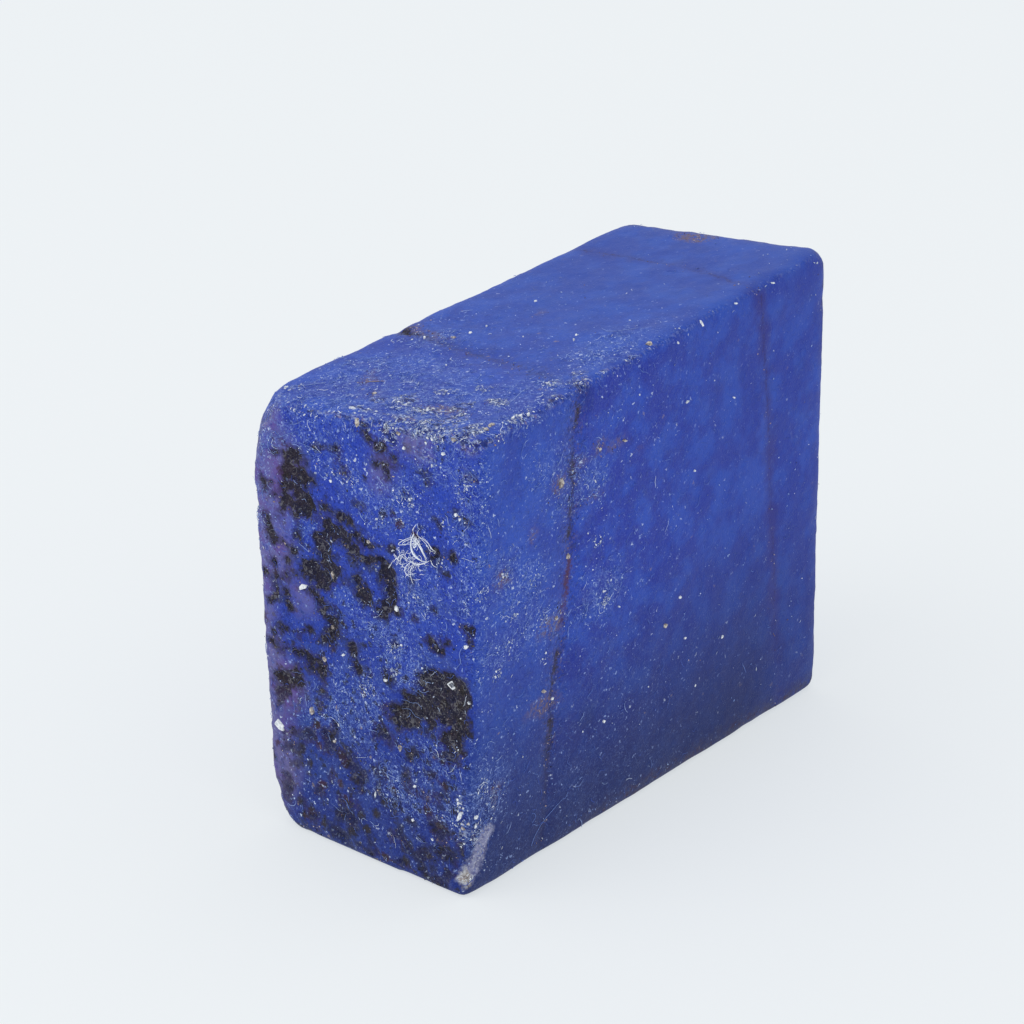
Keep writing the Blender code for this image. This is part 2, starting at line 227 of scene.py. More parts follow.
# Thick dust: on the end (y, z), on the front (x, z) and on the top (x, y), with half sizes.
DUST_ON_END = (
    (-1.6, 19.2, 1.8, 1), (-2.6, 20.2, 1.1, .8), (.9, 20.2, 1.3, .7), (-2.6, 11.6, 1.6, 1.5),
    (.2, 8.6, 1.6, 2.4), (1.7, 7.4, 2.2, 1.2), (-3.6, 15.6, 1.8, 1.6), (-6.6, 19, 1, 4),
    (3.2, 16.8, 1.2, .5), (-4.6, 7.2, 1.6, .9), (-2.4, 4.6, 2.2, 1.3), (-1.6, 13, 1.8, 1),
    (.5, 13.2, 2, .8), (-6, 4.4, .9, 1.2), (-5, 22.6, 2.4, 1.2), (2.4, 23.1, 3, .6),
    (6.4, 21.4, 1, 2), (6.6, 16, .9, 3), (3.4, 21.6, 1.8, .8),
)
DUST_ON_FRONT = (
    (-12.4, 17, 1.7, 1.1), (-11, 15.6, 1.9, 1.3), (-12.6, 12.9, 1.8, .9), (-8.6, 12.8, 1.5, .9),
    (-10.4, 13.4, 1.6, .7), (-14, 4.8, 1.6, 2.4), (-9.2, 21.4, 1.5, .9), (-14.4, 16, .8, 8),
    (-12.4, 5.6, .9, 1.4), (-11.8, 24.5, 2.4, .6), (-6.6, 19.4, 2, 1.4), (-4.8, 13, 1.8, 1.3),
)
DUST_ON_TOP = (
    (-12.8, -2, 2.6, 4.6), (-11.6, -4.2, 3.4, 2.6), (-12.4, -1, 3.4, 5),
    (-10, 2, 3.6, 4.4), (-9.6, -5.4, 3.6, 2), (-13.4, 3.6, 1.4, 3.4),
    (-2, -5, 3, 1.8), (-4.4, 4.2, 1.2, 1.4),
)
# Brown host-rock stain in the skin, in the same way.
STAIN_ON_FRONT = (
    (-9, 8.5, 1.3, .55), (-8.4, 20, .5, .45), (-5.3, 21, .5, .4), (-4, 20.6, .7, .3),
    (-6.8, 20.6, .6, .3), (-5.8, 18.4, .7, .3), (-10.3, 18.1, .3, .3), (-2.2, 19.8, .3, .15),
    (-8.7, 12.6, .9, .5), (-12.6, 5.4, .5, .4), (-12.4, 16.6, .7, .5), (-13.6, 24.3, .9, .4),
)
STAIN_ON_TOP = (
    (-11.9, -2.9, .45, 1.3), (-10.3, 3.2, .5, .4), (-9.4, 3.9, .4, .3), (-10.1, -4.6, .3, .4),
    (-14.1, -5.6, .4, .8), (.3, 1.4, .4, .2), (-3.6, 6.6, .6, .7), (12.4, 1.2, .8, 1.3),
    (-11.5, 1.7, .4, .3), (-13.4, -1.8, .4, .7), (-4, 5.2, .35, 1), (-4.3, 4, .2, .7),
)
STAIN_ON_FAR_END = ((-6.9, 22.4, .5, 1),)
SMUDGE_ON_FRONT = ((-5.5, 6.4, .8, .9), (-6.5, 24, .5, .8))     # darker blue spots
# Pale crust that the broken edges keep, in the same way.
CRUST_ON_END = (
    (-1.7, 23.1, .5, .5), (-3.2, 23.6, 1.6, .2), (-5.4, 23.9, 1.2, .25), (.9, 23.3, .9, .12),
    (3.3, 22.9, .5, .2), (-6.6, 23.8, .5, .35), (5.9, 22.5, .5, .25), (-6.35, 22.2, .25, .3),
    (-3.9, 22.5, .4, .16), (-6.35, 3.3, .2, .45), (-6.1, 5.4, .1, .4),
)
CRUST_ON_FRONT = (
    (-13.9, 3.6, .45, .3), (-13.9, 2.9, .16, .4), (-14.3, .9, .3, .25), (-12.7, 5, .2, .6),
    (-12.6, 24.2, .5, .3), (-11.1, 24.2, .7, .14), (-13.6, 24.1, .5, .25),
)
CRUST_ON_TOP = (
    (-13.4, -2.8, .35, 2.4), (-13.2, -6, .5, .7), (-12.3, -2.4, .35, 1), (-11, -6.8, .7, .2),
    (-12.6, -4.4, .6, .5), (-11.6, -.4, .5, .7), (-11.2, -3.6, .5, .5), (-12.2, .8, .35, .5),
    (-10, -4.6, .3, .5), (-10, -1.5, .25, .5), (-13.4, 1, .2, .8), (-12.4, 6.2, .2, .5),
    (-8.6, -6.9, .5, .2), (-6.4, -6.8, .6, .3), (-7.2, -5.6, .3, .4), (-4.8, -6.9, .5, .2),
    (-2.8, -6.9, .4, .2), (-.8, -6.9, .6, .2), (1.4, -6.9, .4, .2), (3.6, -6.9, .6, .2),
    (6, -6.9, .5, .16), (8.6, -6.8, .4, .16), (-5.6, -5.9, .4, .3),
)
# The pale chip at the foot: its two ends and its half width, in mm.
CHIP_LINE = (Vector((-13.1, -6.75, 3.15)), Vector((-14.3, -6.35, 1.05)))
CHIP_WIDTH = .66
RUST_HEIGHT = (14.2, 2.4)          # the main fracture is rusty about here: middle and half height
SPECKLED_BELOW = (14.5, 5.5)       # soft dark spots lie ever thicker on the end from here to here


def copy_in_even_quads(node, name, cell):
    """A new object with the surface of a CAD node, closed, in quads of one size."""
    piece = bpy.data.objects.new(name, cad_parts[node].data.copy())
    scene.collection.objects.link(piece)
    remesh = piece.modifiers.new("even quads", "REMESH")
    remesh.mode = "VOXEL"
    remesh.voxel_size = cell
    evaluated = piece.evaluated_get(bpy.context.evaluated_depsgraph_get())
    piece.data = bpy.data.meshes.new_from_object(evaluated)
    piece.data.materials.clear()
    piece.modifiers.clear()
    return piece


def read(items, field, width, kind=np.float32):
    """One field of a mesh's points, edges, corners or faces as an array."""
    values = np.empty(len(items) * width, kind)
    items.foreach_get(field, values)
    return values.reshape(-1, width)


def unit(vectors):
    """The directions of some vectors, as vectors of length 1."""
    return vectors / np.linalg.norm(vectors, axis=1)[:, None]


def spread(values, rounds):
    """Evens out values over the stone: each round, a point moves half-way to its neighbours' mean."""
    count = len(values)
    one, two = edges.T
    neighbours = np.bincount(one, minlength=count) + np.bincount(two, minlength=count)
    for _ in range(rounds):
        means = [
            (np.bincount(one, column[two], count) + np.bincount(two, column[one], count)) / neighbours
            for column in np.atleast_2d(values.T)
        ]
        values = (values + np.stack(means, 1).reshape(values.shape)) / 2
    return values


def rise(values, low, high):
    """0 up to low, 1 from high on, and smooth between."""
    t = np.clip((values - low) / (high - low), 0, 1)
    return t * t * (3 - 2 * t)


def relief(size, height, seed):
    """Noise from about -height to height at each point of the stone, that changes over size mm."""
    shift = Vector((seed * 17.3, seed * 5.1, seed * 9.7))
    return height * np.array([noise.fractal(Vector(p) / size + shift, 1.0, 2.0, 2) for p in points])


def within(ovals_by_side, places):
    """How far inside the nearest oval on its side each point is, in mm; it is below 0 outside."""
    inside = np.full(len(points), -1.0)
    for side, ovals in ovals_by_side.items():
        u, v = (places[number] for number in LAYOUT[side][:2])
        for middle_u, middle_v, half_u, half_v in ovals:
            reach = np.hypot((u - middle_u) / half_u, (v - middle_v) / half_v)
            deeper = np.maximum(inside, min(half_u, half_v) * (1 - reach))
            inside = np.where(on[side], deeper, inside)
    return inside


def line_distance(u, v, line):
    """Distance of each place to a line through some points, in mm, and the side of it, -1 or 1."""
    near = np.full(len(u), 99.0)
    side = np.zeros(len(u))
    for (u0, v0), (u1, v1) in zip(line, line[1:]):
        du, dv = u1 - u0, v1 - v0
        along = np.clip(((u - u0) * du + (v - v0) * dv) / (du * du + dv * dv), 0, 1)
        away = np.hypot(u - u0 - along * du, v - v0 - along * dv)
        side = np.where(away < near, np.sign(u - u0 - along * du), side)
        near = np.minimum(near, away)
    return near, side


stone = copy_in_even_quads("stone", "sapphire_block", CELL)
edges = read(stone.data.edges, "vertices", 2, np.int32)
points = read(stone.data.vertices, "co", 3).astype(float) / MM
normals = read(stone.data.vertices, "normal", 3).astype(float)

# Which way the block faces at each point, from the normals far and near around it.
facing = unit(spread(normals, 40))
turned = unit(spread(normals, 8))
axis = np.abs(facing).argmax(1)
positive = facing[np.arange(len(facing)), axis] > 0
on = {side: (axis == number // 2) & (positive == number % 2) for number, side in enumerate(SIDES)}
squareness = np.abs(turned).max(1)
flat = rise(squareness, .86, .985)
edge = 1 - rise(squareness, .80, .97)

# Even out the facets of the flat sides.
evening = EDGE_KEEP + (1 - EDGE_KEEP) * flat
points += (spread(points, FACET_ROUNDS) - points) * evening[:, None]
x, y, z = points.T

# Where the rock, the violet skin, the dust, the stains and the crust are.
warp = relief(*WARP_ACROSS)
warped = (x + warp, y + warp, z + relief(*WARP_UP))
rng = np.random.default_rng(7)
speck_y = rng.uniform(*SPECK_SPREAD, SPECK_COUNT)
speck_z = SPECK_TOP * rng.uniform(0, 1, SPECK_COUNT) ** SPECK_CROWDING
speck_width = rng.uniform(*SPECK_SIZE, SPECK_COUNT)
speck_height = speck_width * rng.uniform(.6, 1.3, SPECK_COUNT)
specks_on_end = tuple(zip(speck_y, speck_z, speck_width, speck_height))

# On the back, each patch of rock has smaller ones about it.
rock_on_back = list(ROCK_ON_BACK)
for u, v, half_u, half_v in ROCK_ON_BACK:
    for _ in range(BACK_SATELLITES):
        share = rng.uniform(.25, .7)
        moved_u, moved_v = u + rng.normal(0, 1.1 * half_u), v + rng.normal(0, 1.3 * half_v)
        rock_on_back.append((moved_u, moved_v, half_u * share, half_v * share))

rock = within({
    "end": ROCK_ON_END + specks_on_end, "back": rock_on_back, "far end": ROCK_ON_FAR_END,
    "top": ROCK_ON_TOP,
}, warped)
rock = spread(np.minimum(rock, -1.5 * within({"end": BLUE_ON_END}, warped)), 1)
rock = rock + relief(*RAGGED_ROCK) * rise(rock, -.5, -.1)
violet = spread(within({"end": VIOLET_ON_END, "back": VIOLET_ON_BACK}, warped), 12)
violet = rise(violet + relief(*VIOLET_EDGE), -.6, .7)
dust = within({"end": DUST_ON_END, "front": DUST_ON_FRONT, "top": DUST_ON_TOP}, warped)
dust = rise(spread(dust, 12), -.7, .8)
stain = within({"front": STAIN_ON_FRONT, "top": STAIN_ON_TOP, "far end": STAIN_ON_FAR_END}, warped)
stain = rise(spread(stain, 3), -.25, .30)
crust = within({"end": CRUST_ON_END, "front": CRUST_ON_FRONT, "top": CRUST_ON_TOP}, warped)
crust = rise(spread(crust, 2), -.22, .16)
smudge = rise(within({"front": SMUDGE_ON_FRONT}, warped), -.3, .5)

# How near each point is to the fractures. Left of the main one, the block is paler.
bend = relief(*FRACTURE_WANDER)
near_main, near_fine = np.full(len(points), 99.0), np.full(len(points), 99.0)
left = np.where(x < -7.5, 1.0, -1.0)
for side, other in (("front", z), ("top", y), ("back", z)):
    away, way = line_distance(x + bend, other, MAIN_FRACTURE[side])
    near_main = np.where(on[side], away, near_main)
    left = np.where(on[side], -way * np.minimum(away, 1), left)
    near_fine = np.where(on[side], line_distance(x + bend, other, FINE_FRACTURE[side])[0], near_fine)
left = rise(left, -.12, .12)
rusty = rise(-np.abs(z - RUST_HEIGHT[0]), -RUST_HEIGHT[1], -.5 * RUST_HEIGHT[1]) * on["front"]
# How plainly both fractures show.
plain = on["front"] * (.3 + .7 * rise(z, 3.5, 8)) + .42 * on["top"] + .35 * on["back"]
plain = spread(plain, 4)

# How far inside the chip at the foot each point is, and where the chip is cream.
chip_start, chip_run = np.array(CHIP_LINE[0]), np.array(CHIP_LINE[1] - CHIP_LINE[0])
chip_along = np.clip((points - chip_start) @ chip_run / (chip_run @ chip_run), 0, 1)
chip = CHIP_WIDTH - np.linalg.norm(points - chip_start - chip_along[:, None] * chip_run, axis=1)
chip += relief(*CHIP_EDGE)
cream = rise(chip_along, .62, .95) * rise(-x, 13.5, 14.2)

# Worn edges: the end's top edge is the most crumbled one.
upward = rise(turned[:, 2], .12, .40)
top_end = upward * rise(-x, 12.6, 13.6) * (1 - .6 * rise(y, 1, 5))
top_front = upward * rise(-y, 5.6, 6.8)
end_back = rise(-x, 12.4, 13.6) * rise(y, 5.2, 6.4)
wear = .10 + .80 * top_end + top_front * (.26 + .3 * rise(-x, -4, 10)) + .30 * end_back
wear = edge * np.clip(wear, 0, 1) * rise(z, .3, 1.5)

# The near half and the end are rougher; the top is painted paler, as light from above, and the blue is
# painted darker at the foot, as shade and partly its own deeper blue.
crisp = rise(-x, -7, 6)
coarse = spread(on["end"], 6)
lit_top = spread(on["top"], 6)
# Painted shade, partly the stone's own deeper blue: how much the blue darkens towards the foot, less so at
# the far end.
foot = rise(-z, -15 - 3 * coarse, 0) * (1 - .4 * rise(x, 7, 13))
speckled = coarse * rise(-z, -SPECKLED_BELOW[0], -SPECKLED_BELOW[1])

# Grime lies in the worn far edges and along the foot of the front.
far_edge = np.minimum(1, 2.2 * spread(edge, 4)) * rise(x, 12.2, 13.5)
far_edge = far_edge * np.maximum(upward, rise(-y, 5.2, 6.4) * rise(z, 15, 22))
foot_edge = on["front"] * rise(-z, -1.5, -.1) * rise(x, -9, -2)
grime = spread(np.maximum(.8 * far_edge, foot_edge), 3)

# Relief of the surface, along the normals.
height = relief(*SAW_WAVE) + relief(*SKIN_GRAIN) + relief(*FINE_GRAIN)
height += relief(*END_GRAIN) * on["end"]
height += relief(*EDGE_CRUMBLE) * wear
floor_of_rock = rise(rock, -.02, .18)
height += floor_of_rock * (relief(*ROCK_ROUGH) - ROCK_DEPTH)
height += rise(chip, -.05, .25) * (relief(*CHIP_ROUGH) - CHIP_DEPTH)
height += crust * (relief(*CRUST_ROUGH) + CRUST_HEIGHT)
height *= rise(z, .02, .6)
points += turned * height[:, None]
low, high = (np.array(corner) / MM for corner in cad_box)
points = np.clip(points, low, high)

stone.data.vertices.foreach_set("co", (points * MM).astype(np.float32).ravel())
for name, values in {
    "rock": rock, "violet": violet, "dust": dust, "stain": stain, "main_fracture": near_main,
    "fine_fracture": near_fine, "left": left, "chip": chip, "wear": wear, "foot": foot, "crisp": crisp,
    "rusty": rusty, "crust": crust, "coarse": coarse, "speckled": speckled, "lit_top": lit_top,
    "cream": cream, "plain": plain, "grime": grime, "smudge": smudge,
}.items():
    field = stone.data.attributes.new(name, "FLOAT", "POINT")
    field.data.foreach_set("value", values.astype(np.float32))
stone.data.shade_smooth()
stone.data.update()

# The flat layout of the skin.
corner_point = read(stone.data.loops, "vertex_index", 1, np.int32)[:, 0]
face_point = corner_point[::4]
face_side = np.select([on[side] for side in LAYOUT], range(len(LAYOUT)))[face_point]
laid = np.zeros((len(corner_point), 2))
for number, (first, second, left_edge, lower_edge) in enumerate(LAYOUT.values()):
    here = np.repeat(face_side, 4) == number
    laid[here] = points[corner_point[here]][:, [first, second]] + (left_edge, lower_edge)
skin = stone.data.uv_layers.new(name="OFBake")
skin.data.foreach_set("uv", (laid / SHEET).astype(np.float32).ravel())


def arithmetic(operation, turned_round=False):
    """A method for wires that adds a Math node; turned round, the other value comes first."""
    def method(wire, other):
        values = (other, wire) if turned_round else (wire, other)
        return Wire.node("Math", {"operation": operation}, dict(enumerate(values)))
    return method


class Wire:
    """An output socket of a material's node. Arithmetic on wires adds Math nodes."""

    tree = None                    # the nodes of the material that is being made
    place = None                   # and the place in it that is being coloured

    def __init__(self, socket):
        self.socket = socket

    @classmethod
    def node(cls, kind, settings=None, sockets=None, output=0):
        """Adds a node: its settings first, then the value of each socket or the wire into it."""
        made = cls.tree.nodes.new("ShaderNode" + kind)
        for name, value in (settings or {}).items():
            if name == "stops":
                for _ in value[2:]:
                    made.color_ramp.elements.new(1)
                for element, (position, color) in zip(made.color_ramp.elements, value):
                    element.position = position
                    element.color = color
            else:
                setattr(made, name, value)
        for name, value in (sockets or {}).items():
            if isinstance(value, Wire):
                cls.tree.links.new(value.socket, made.inputs[name])
            else:
                made.inputs[name].default_value = value
        return cls(made.outputs[output])

    def also(self, output):
        """Another output of the same node."""
        return Wire(self.socket.node.outputs[output])

    def into(self, shader, name):
        """Joins the wire to a socket of a shader."""
        Wire.tree.links.new(self.socket, shader.inputs[name])

    __add__ = __radd__ = arithmetic("ADD")
    __sub__ = arithmetic("SUBTRACT")
    __rsub__ = arithmetic("SUBTRACT", turned_round=True)
    __mul__ = __rmul__ = arithmetic("MULTIPLY")
    __lt__ = arithmetic("LESS_THAN")


def new_material(name, roughness, specular):
    """A material with only its Principled shader; the wires that follow go into it."""
    material = bpy.data.materials.new(name)
    material.use_nodes = True
    Wire.tree = material.node_tree
    shader = Wire.tree.nodes["Principled BSDF"]
    for socket, value in {"Roughness": roughness, "Specular IOR Level": specular, "IOR": 1.5}.items():
        shader.inputs[socket].default_value = value
    Wire.place = Wire.node("TexCoord", output="Object")
    return material, shader


def carried(name):
    """A value that the surface carries point by point."""
    return Wire.node("Attribute", {"attribute_name": name}, output="Fac")


def grain(size, detail=2.0, seed=0.0, rough=0.5):
    """Noise about 0.5 that changes over size mm."""
    return Wire.node(
        "TexNoise", {"noise_dimensions": "4D"},
        {"Vector": Wire.place, "W": seed, "Scale": 1 / (size * MM), "Detail": detail, "Roughness": rough},
    )


def step(value, start, end):
    """0 before start, 1 after end, and smooth between; start may be the larger."""
    return Wire.node(
        "MapRange", {"interpolation_type": "SMOOTHSTEP"},
        {"Value": value, "From Min": start, "From Max": end},
    )


def blots(size, seed, rough, low, high):
    """Soft blots where fine noise that changes over size mm rises from low to high."""
    return step(grain(size, 3, seed, rough), low, high)


def vector(operation, one, two):
    """Arithmetic on two vectors, each a wire or a constant."""
    return Wire.node("VectorMath", {"operation": operation}, {0: one, 1: two})


def dots(cell, size, share, seed):
    """Round dots with a radius of size cells at most, in a share of the cells of a jumbled grid."""
    moved = vector("ADD", jumbled, (seed, seed, seed))
    cells = Wire.node("TexVoronoi", {}, {"Vector": moved, "Scale": 1 / (cell * MM)}, "Distance")
    lot = Wire.node("SeparateColor", {}, {"Color": cells.also("Color")}, "Red")
    return step(cells, size, size * .45) * (lot < share)


def over(paint, share, under):
    """A colour laid over another by a share from 0 to 1."""
    return Wire.node("Mix", {"data_type": "RGBA"}, {0: share, 6: under, 7: paint}, 2)


def coated(color, *coats):
    """A colour with coats over it, from the lowest up: the paint and the share of each."""
    for paint, share in coats:
        color = over(paint, share, color)
    return color


def squiggle(size, width, seed):
    """Thin crooked strokes, about size mm apart, where noise passes its middle value."""
    middle = Wire.node("Math", {"operation": "ABSOLUTE"}, {0: grain(size, 1, seed) - .5})
    return step(middle, width, width * .25)


DEEP_BLUE = (.01, .03, .355, 1)
CLEAR_BLUE = (.016, .07, .495, 1)
VIOLET_BLUE = (.02, .046, .37, 1)
SOFT_BLUE = (.03, .09, .46, 1)
NIGHT_BLUE = (.001, .008, .11, 1)
VIOLET_SHADE = (.03, .02, .17, 1)
TEAL_HAZE = (.04, .08, .26, 1)
PAINTED_FOOT_SHADE = (.004, .012, .085, 1)
END_BLUE = (.006, .03, .4, 1)
PAINTED_TOP_LIGHT = (.022, .115, .5, 1)
FAR_BLUE = (.02, .052, .28, 1)
LILAC = (.15, .132, .33, 1)
PURPLE = (.1, .04, .26, 1)
PLUM = (.022, .006, .05, 1)
SPOT_DARK = (.012, .012, .034, 1)
SPOT_RED = (.04, .008, .022, 1)
GRIME = (.032, .03, .08, 1)
HAZE = (.098, .165, .5, 1)
PALE_STROKE = (.18, .275, .64, 1)
PALE_DOT = (.3, .4, .74, 1)
WHITE_DOT = (.58, .66, .84, 1)
GOLD_DOT = (.34, .26, .21, 1)
RUST = (.095, .024, .075, 1)
ROCK_BLACK = (.006, .005, .009, 1)
ROCK_BROWN = (.024, .016, .02, 1)
ROCK_OLIVE = (.038, .032, .028, 1)
ROCK_FLECK = (.16, .155, .16, 1)
STAIN_BROWN = (.155, .098, .115, 1)
CRUMB_PALE = (.46, .54, .72, 1)
CRUMB_GOLD = (.3, .21, .2, 1)
CHIP_LAVENDER = (.27, .28, .46, 1)
CHIP_WHITE = (.68, .7, .74, 1)
CHIP_SHADE = (.11, .115, .27, 1)
CHIP_BEIGE = (.42, .37, .33, 1)
CHIP_BROWN = (.2, .165, .15, 1)

JUMBLE_SIZE = .16                  # the dots' grid is pushed about over this distance, in mm,
JUMBLE = .34                       # by up to about half of this, in mm
BUMP_DISTANCE = .05 * MM

sapphire, sapphire_shader = new_material("sapphire", .52, .24)
jumble_scale = 1 / (JUMBLE_SIZE * MM)
jumble = Wire.node("TexNoise", {}, {"Vector": Wire.place, "Scale": jumble_scale, "Detail": 1}, "Color")
jumble = vector("MULTIPLY", vector("SUBTRACT", jumble, (.5, .5, .5)), (JUMBLE * MM,) * 3)
jumbled = vector("ADD", Wire.place, jumble)
fine = grain(.1, 2, 1, .6)
medium = grain(.42, 3, 2, .6)
mottle = grain(1.7, 3, 3, .6)
cloud = grain(5.5, 2, 4)
dusty = carried("dust")
rough_half = .3 + .7 * carried("crisp")
rough_end = carried("coarse")
spotted = carried("speckled")

# The blue itself: clear and deep, violet in places, darker in its pores and hazy where dusty.
color = coated(
    over(CLEAR_BLUE, step(mottle, .38, .64), DEEP_BLUE),
    (VIOLET_BLUE, step(cloud, .5, .72) * .3),
    (SOFT_BLUE, carried("left") * (.34 - .2 * carried("lit_top"))),
    (FAR_BLUE, (1 - carried("crisp")) * .28),
    # painted light: the top is coloured paler as if lit from above
    (PAINTED_TOP_LIGHT, carried("lit_top") * (.28 - .16 * carried("left"))),
    (END_BLUE, rough_end * .55),
    # painted shade, partly the stone's own colour: the blue darkens towards the foot
    (PAINTED_FOOT_SHADE, carried("foot") * (.92 - .26 * rough_end)),
    (NIGHT_BLUE, step(medium, .46, .3) * (.2 + .35 * rough_end) * rough_half),
    (NIGHT_BLUE, step(fine, .48, .35) * (.28 + .42 * rough_end) * rough_half),
    (HAZE, step(medium, .46, .7) * (.07 + .24 * dusty)),
    (HAZE, step(fine, .52, .68) * rough_half * (.16 + .26 * dusty)),
    (TEAL_HAZE, blots(1.3, 32, .6, .5, .66) * (.08 + .2 * rough_end)),
)

# Soft dark spots on the end, smudges and grime, the violet skin and the brown stain.
spot_paint = over(SPOT_RED, step(mottle, .52, .6), SPOT_DARK)
color = coated(
    color,
    (spot_paint, dots(.82, .46, .64 * spotted + .04 * rough_end, .061) * .9),
    (SPOT_DARK, dots(.46, .44, .52 * spotted + .14 * rough_end, .073) * .85),
    (ROCK_BROWN, dots(.82, .3, .64 * spotted, .061) * .8),
    (NIGHT_BLUE, carried("smudge") * .45),
    (GRIME, carried("grime") * blots(.45, 38, .65, .36, .58) * .8),
    (SPOT_RED, carried("grime") * blots(.34, 39, .6, .54, .64) * .7),
    (LILAC, carried("violet") * step(medium, .24, .54) * .8),
    (PURPLE, carried("violet") * blots(1.1, 5, .6, .5, .64) * .6),
    (SPOT_RED, carried("violet") * blots(.62, 15, .6, .56, .68) * .8),
    (STAIN_BROWN, carried("stain") * blots(.24, 6, .65, .42, .56) * .82),
)

# Fine pale scratches and dots of dust.
strokes = squiggle(.34, .032, 16) * step(grain(.3, 2, 17), .48, .56)
strokes_small = squiggle(.19, .05, 18) * step(grain(.24, 2, 19), .46, .56)
color = coated(
    color,
    (PALE_STROKE, strokes * (.14 + .44 * dusty) * rough_half),
    (PALE_STROKE, strokes_small * (.12 + .42 * dusty) * rough_half),
    (PALE_DOT, dots(.15, .42, .07 + .24 * dusty + .08 * rough_end, .011) * .6 * rough_half),
    (PALE_DOT, dots(.24, .34, .05 + .17 * dusty + .06 * rough_end, .023) * .8 * rough_half),
    (WHITE_DOT, dots(.36, .24, .05 + .2 * dusty + .05 * rough_end, .037) * .85 * rough_half),
    (GOLD_DOT, dots(.55, .22, .04, .041) * .6 * rough_half),
)

# The two fractures: a broken line with dark grit and brown about it, and a fine violet one.
line_grain = grain(.16, 3, 7, .7)
broken = blots(1.1, 20, .6, .42, .56)
plainly = carried("plain")
to_main = carried("main_fracture")
to_fine = carried("fine_fracture")
main_line = step(to_main + (line_grain - .5) * 1.3, .3, .02) * (.14 + .86 * broken) * plainly
main_halo = step(to_main, 1, .1) * step(line_grain, .52, .64)
main_grit = step(to_main, 1.5, .1) * blots(.24, 37, .7, .51, .6)
fine_line = step(to_fine + (line_grain - .5) * .7, .15, 0) * (.3 + .7 * broken) * plainly
fine_halo = step(to_fine + (mottle - .5) * 1.2, .8, 0)
color = coated(
    color,
    (NIGHT_BLUE, main_grit * .6 * plainly),
    (STAIN_BROWN, main_halo * .5 * plainly),
    (over(RUST, carried("rusty") * .75, ROCK_BROWN), main_line * .88),
    (VIOLET_SHADE, fine_halo * .5 * plainly),
    (PLUM, fine_line * (.4 + .8 * carried("lit_top"))),
)

# Host rock: nearly black, with brown, olive and pale grains, and with a soft rim about it.
ragged_rock = carried("rock") + (grain(.2, 3, 8, .65) - .5) * .6
ragged_rock = ragged_rock + (grain(.55, 2, 22) - .5) * .6
rock_share = step(ragged_rock, -.1, .06) * (1 - .35 * step(spotted, .8, 1))
rock_rim = step(ragged_rock, -.3, -.06) * (1 - rock_share)
rock_paint = coated(
    over(ROCK_BROWN, blots(.3, 9, .65, .42, .6), ROCK_BLACK),
    (ROCK_OLIVE, blots(.12, 28, .7, .5, .62) * .8),
    (SPOT_DARK, blots(.28, 29, .7, .54, .66)),
    (ROCK_FLECK, step(grain(.08, 2, 10, .6), .57, .68) * .7),
    (ROCK_FLECK, squiggle(.34, .045, 23) * step(grain(.4, 2, 24), .46, .56) * .7),
    (WHITE_DOT, dots(.26, .26, .1, .087) * .8),
)

# Crust on the worn edges, in grains that are drawn out along Y.
even_place = Wire.place
Wire.place = vector("MULTIPLY", even_place, (1.5, .6, 1.5))
edge_grain = grain(.2, 3, 11, .7)
edge_dark = grain(.36, 3, 25, .7)
edge_gold = grain(.3, 2, 30, .6)
Wire.place = even_place
crusted = step(carried("wear") * .8 + carried("crust"), 0, 1)

# The chip at the foot: lavender and white, cream at its lower end, with a white rim on the end.
to_chip = carried("chip")
chip_share = step(to_chip + (grain(.3, 3, 12, .65) - .5) * .7, 0, .4)
chip_rim = step(to_chip, .5, .15) * step(rough_end, .25, .6) * blots(.22, 36, .7, .42, .54)
creamy = carried("cream") * .6 + rough_end * .6 + (grain(.4, 3, 13, .6) - .5) * .9
creamy = step(creamy, .4, .7)
chip_paint = coated(
    over(CHIP_SHADE, blots(.26, 31, .65, .46, .6), CHIP_LAVENDER),
    (over(CHIP_BROWN, blots(.14, 34, .7, .5, .58), CHIP_BEIGE), creamy),
    (CHIP_WHITE, blots(.11, 33, .7, .5, .6) * (.5 + .5 * creamy)),
    (CHIP_SHADE, blots(.16, 35, .7, .56, .64) * .8),
    (CHIP_WHITE, chip_rim),
)
color = coated(
    color,
    (over(PLUM, step(mottle, .46, .56), SPOT_DARK), rock_rim * .6),
    (rock_paint, rock_share * .94),
    (over(CRUMB_GOLD, step(edge_gold, .5, .6), CRUMB_PALE), crusted * step(edge_grain, .5, .59) * .72),
    (NIGHT_BLUE, crusted * step(edge_dark, .49, .57) * .85),
    (chip_paint, chip_share * .92),
)

color.into(sapphire_shader, "Base Color")
satin = .52 + .25 * rock_share + (medium - .5) * .25 - .12 * chip_share
satin.into(sapphire_shader, "Roughness")
skin_height = fine * .6 + medium * .4 + strokes * .5 + rock_share * (grain(.09, 2, 14) * 1.6)
bump = Wire.node("Bump", {}, {"Height": skin_height, "Distance": BUMP_DISTANCE, "Strength": .8})
bump.into(sapphire_shader, "Normal")

stone.data.materials.append(sapphire)
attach(stone, "root")
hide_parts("stone")

# ---------------------------------------------------------------- dust and crumbs
# Mineral dust clings to the rough skin, brown and cream crumbs of host rock sit along
# the broken edges and the fractures, and black ones lie round the rock. All are loose
# grains, most of them a few hundredths of a millimetre across, that stick where they fell.
face_middles = read(stone.data.polygons, "center", 3).astype(float)
face_normals = read(stone.data.polygons, "normal", 3).astype(float)
face_areas = read(stone.data.polygons, "area", 1)[:, 0].astype(float)
aloft = rise(z, .15, .5)           # none of it is under the stone


def pick(weight, count, seed):
    """Random places on the stone and the normals there, more of them where the weight is high."""
    draw = np.random.default_rng(seed)
    chance = (weight * aloft)[face_point] * face_areas
    faces = draw.choice(len(chance), count, p=chance / chance.sum())
    aside = np.cross(face_normals[faces], draw.normal(size=(count, 3)))
    return face_middles[faces] + aside * CELL * .45, face_normals[faces]


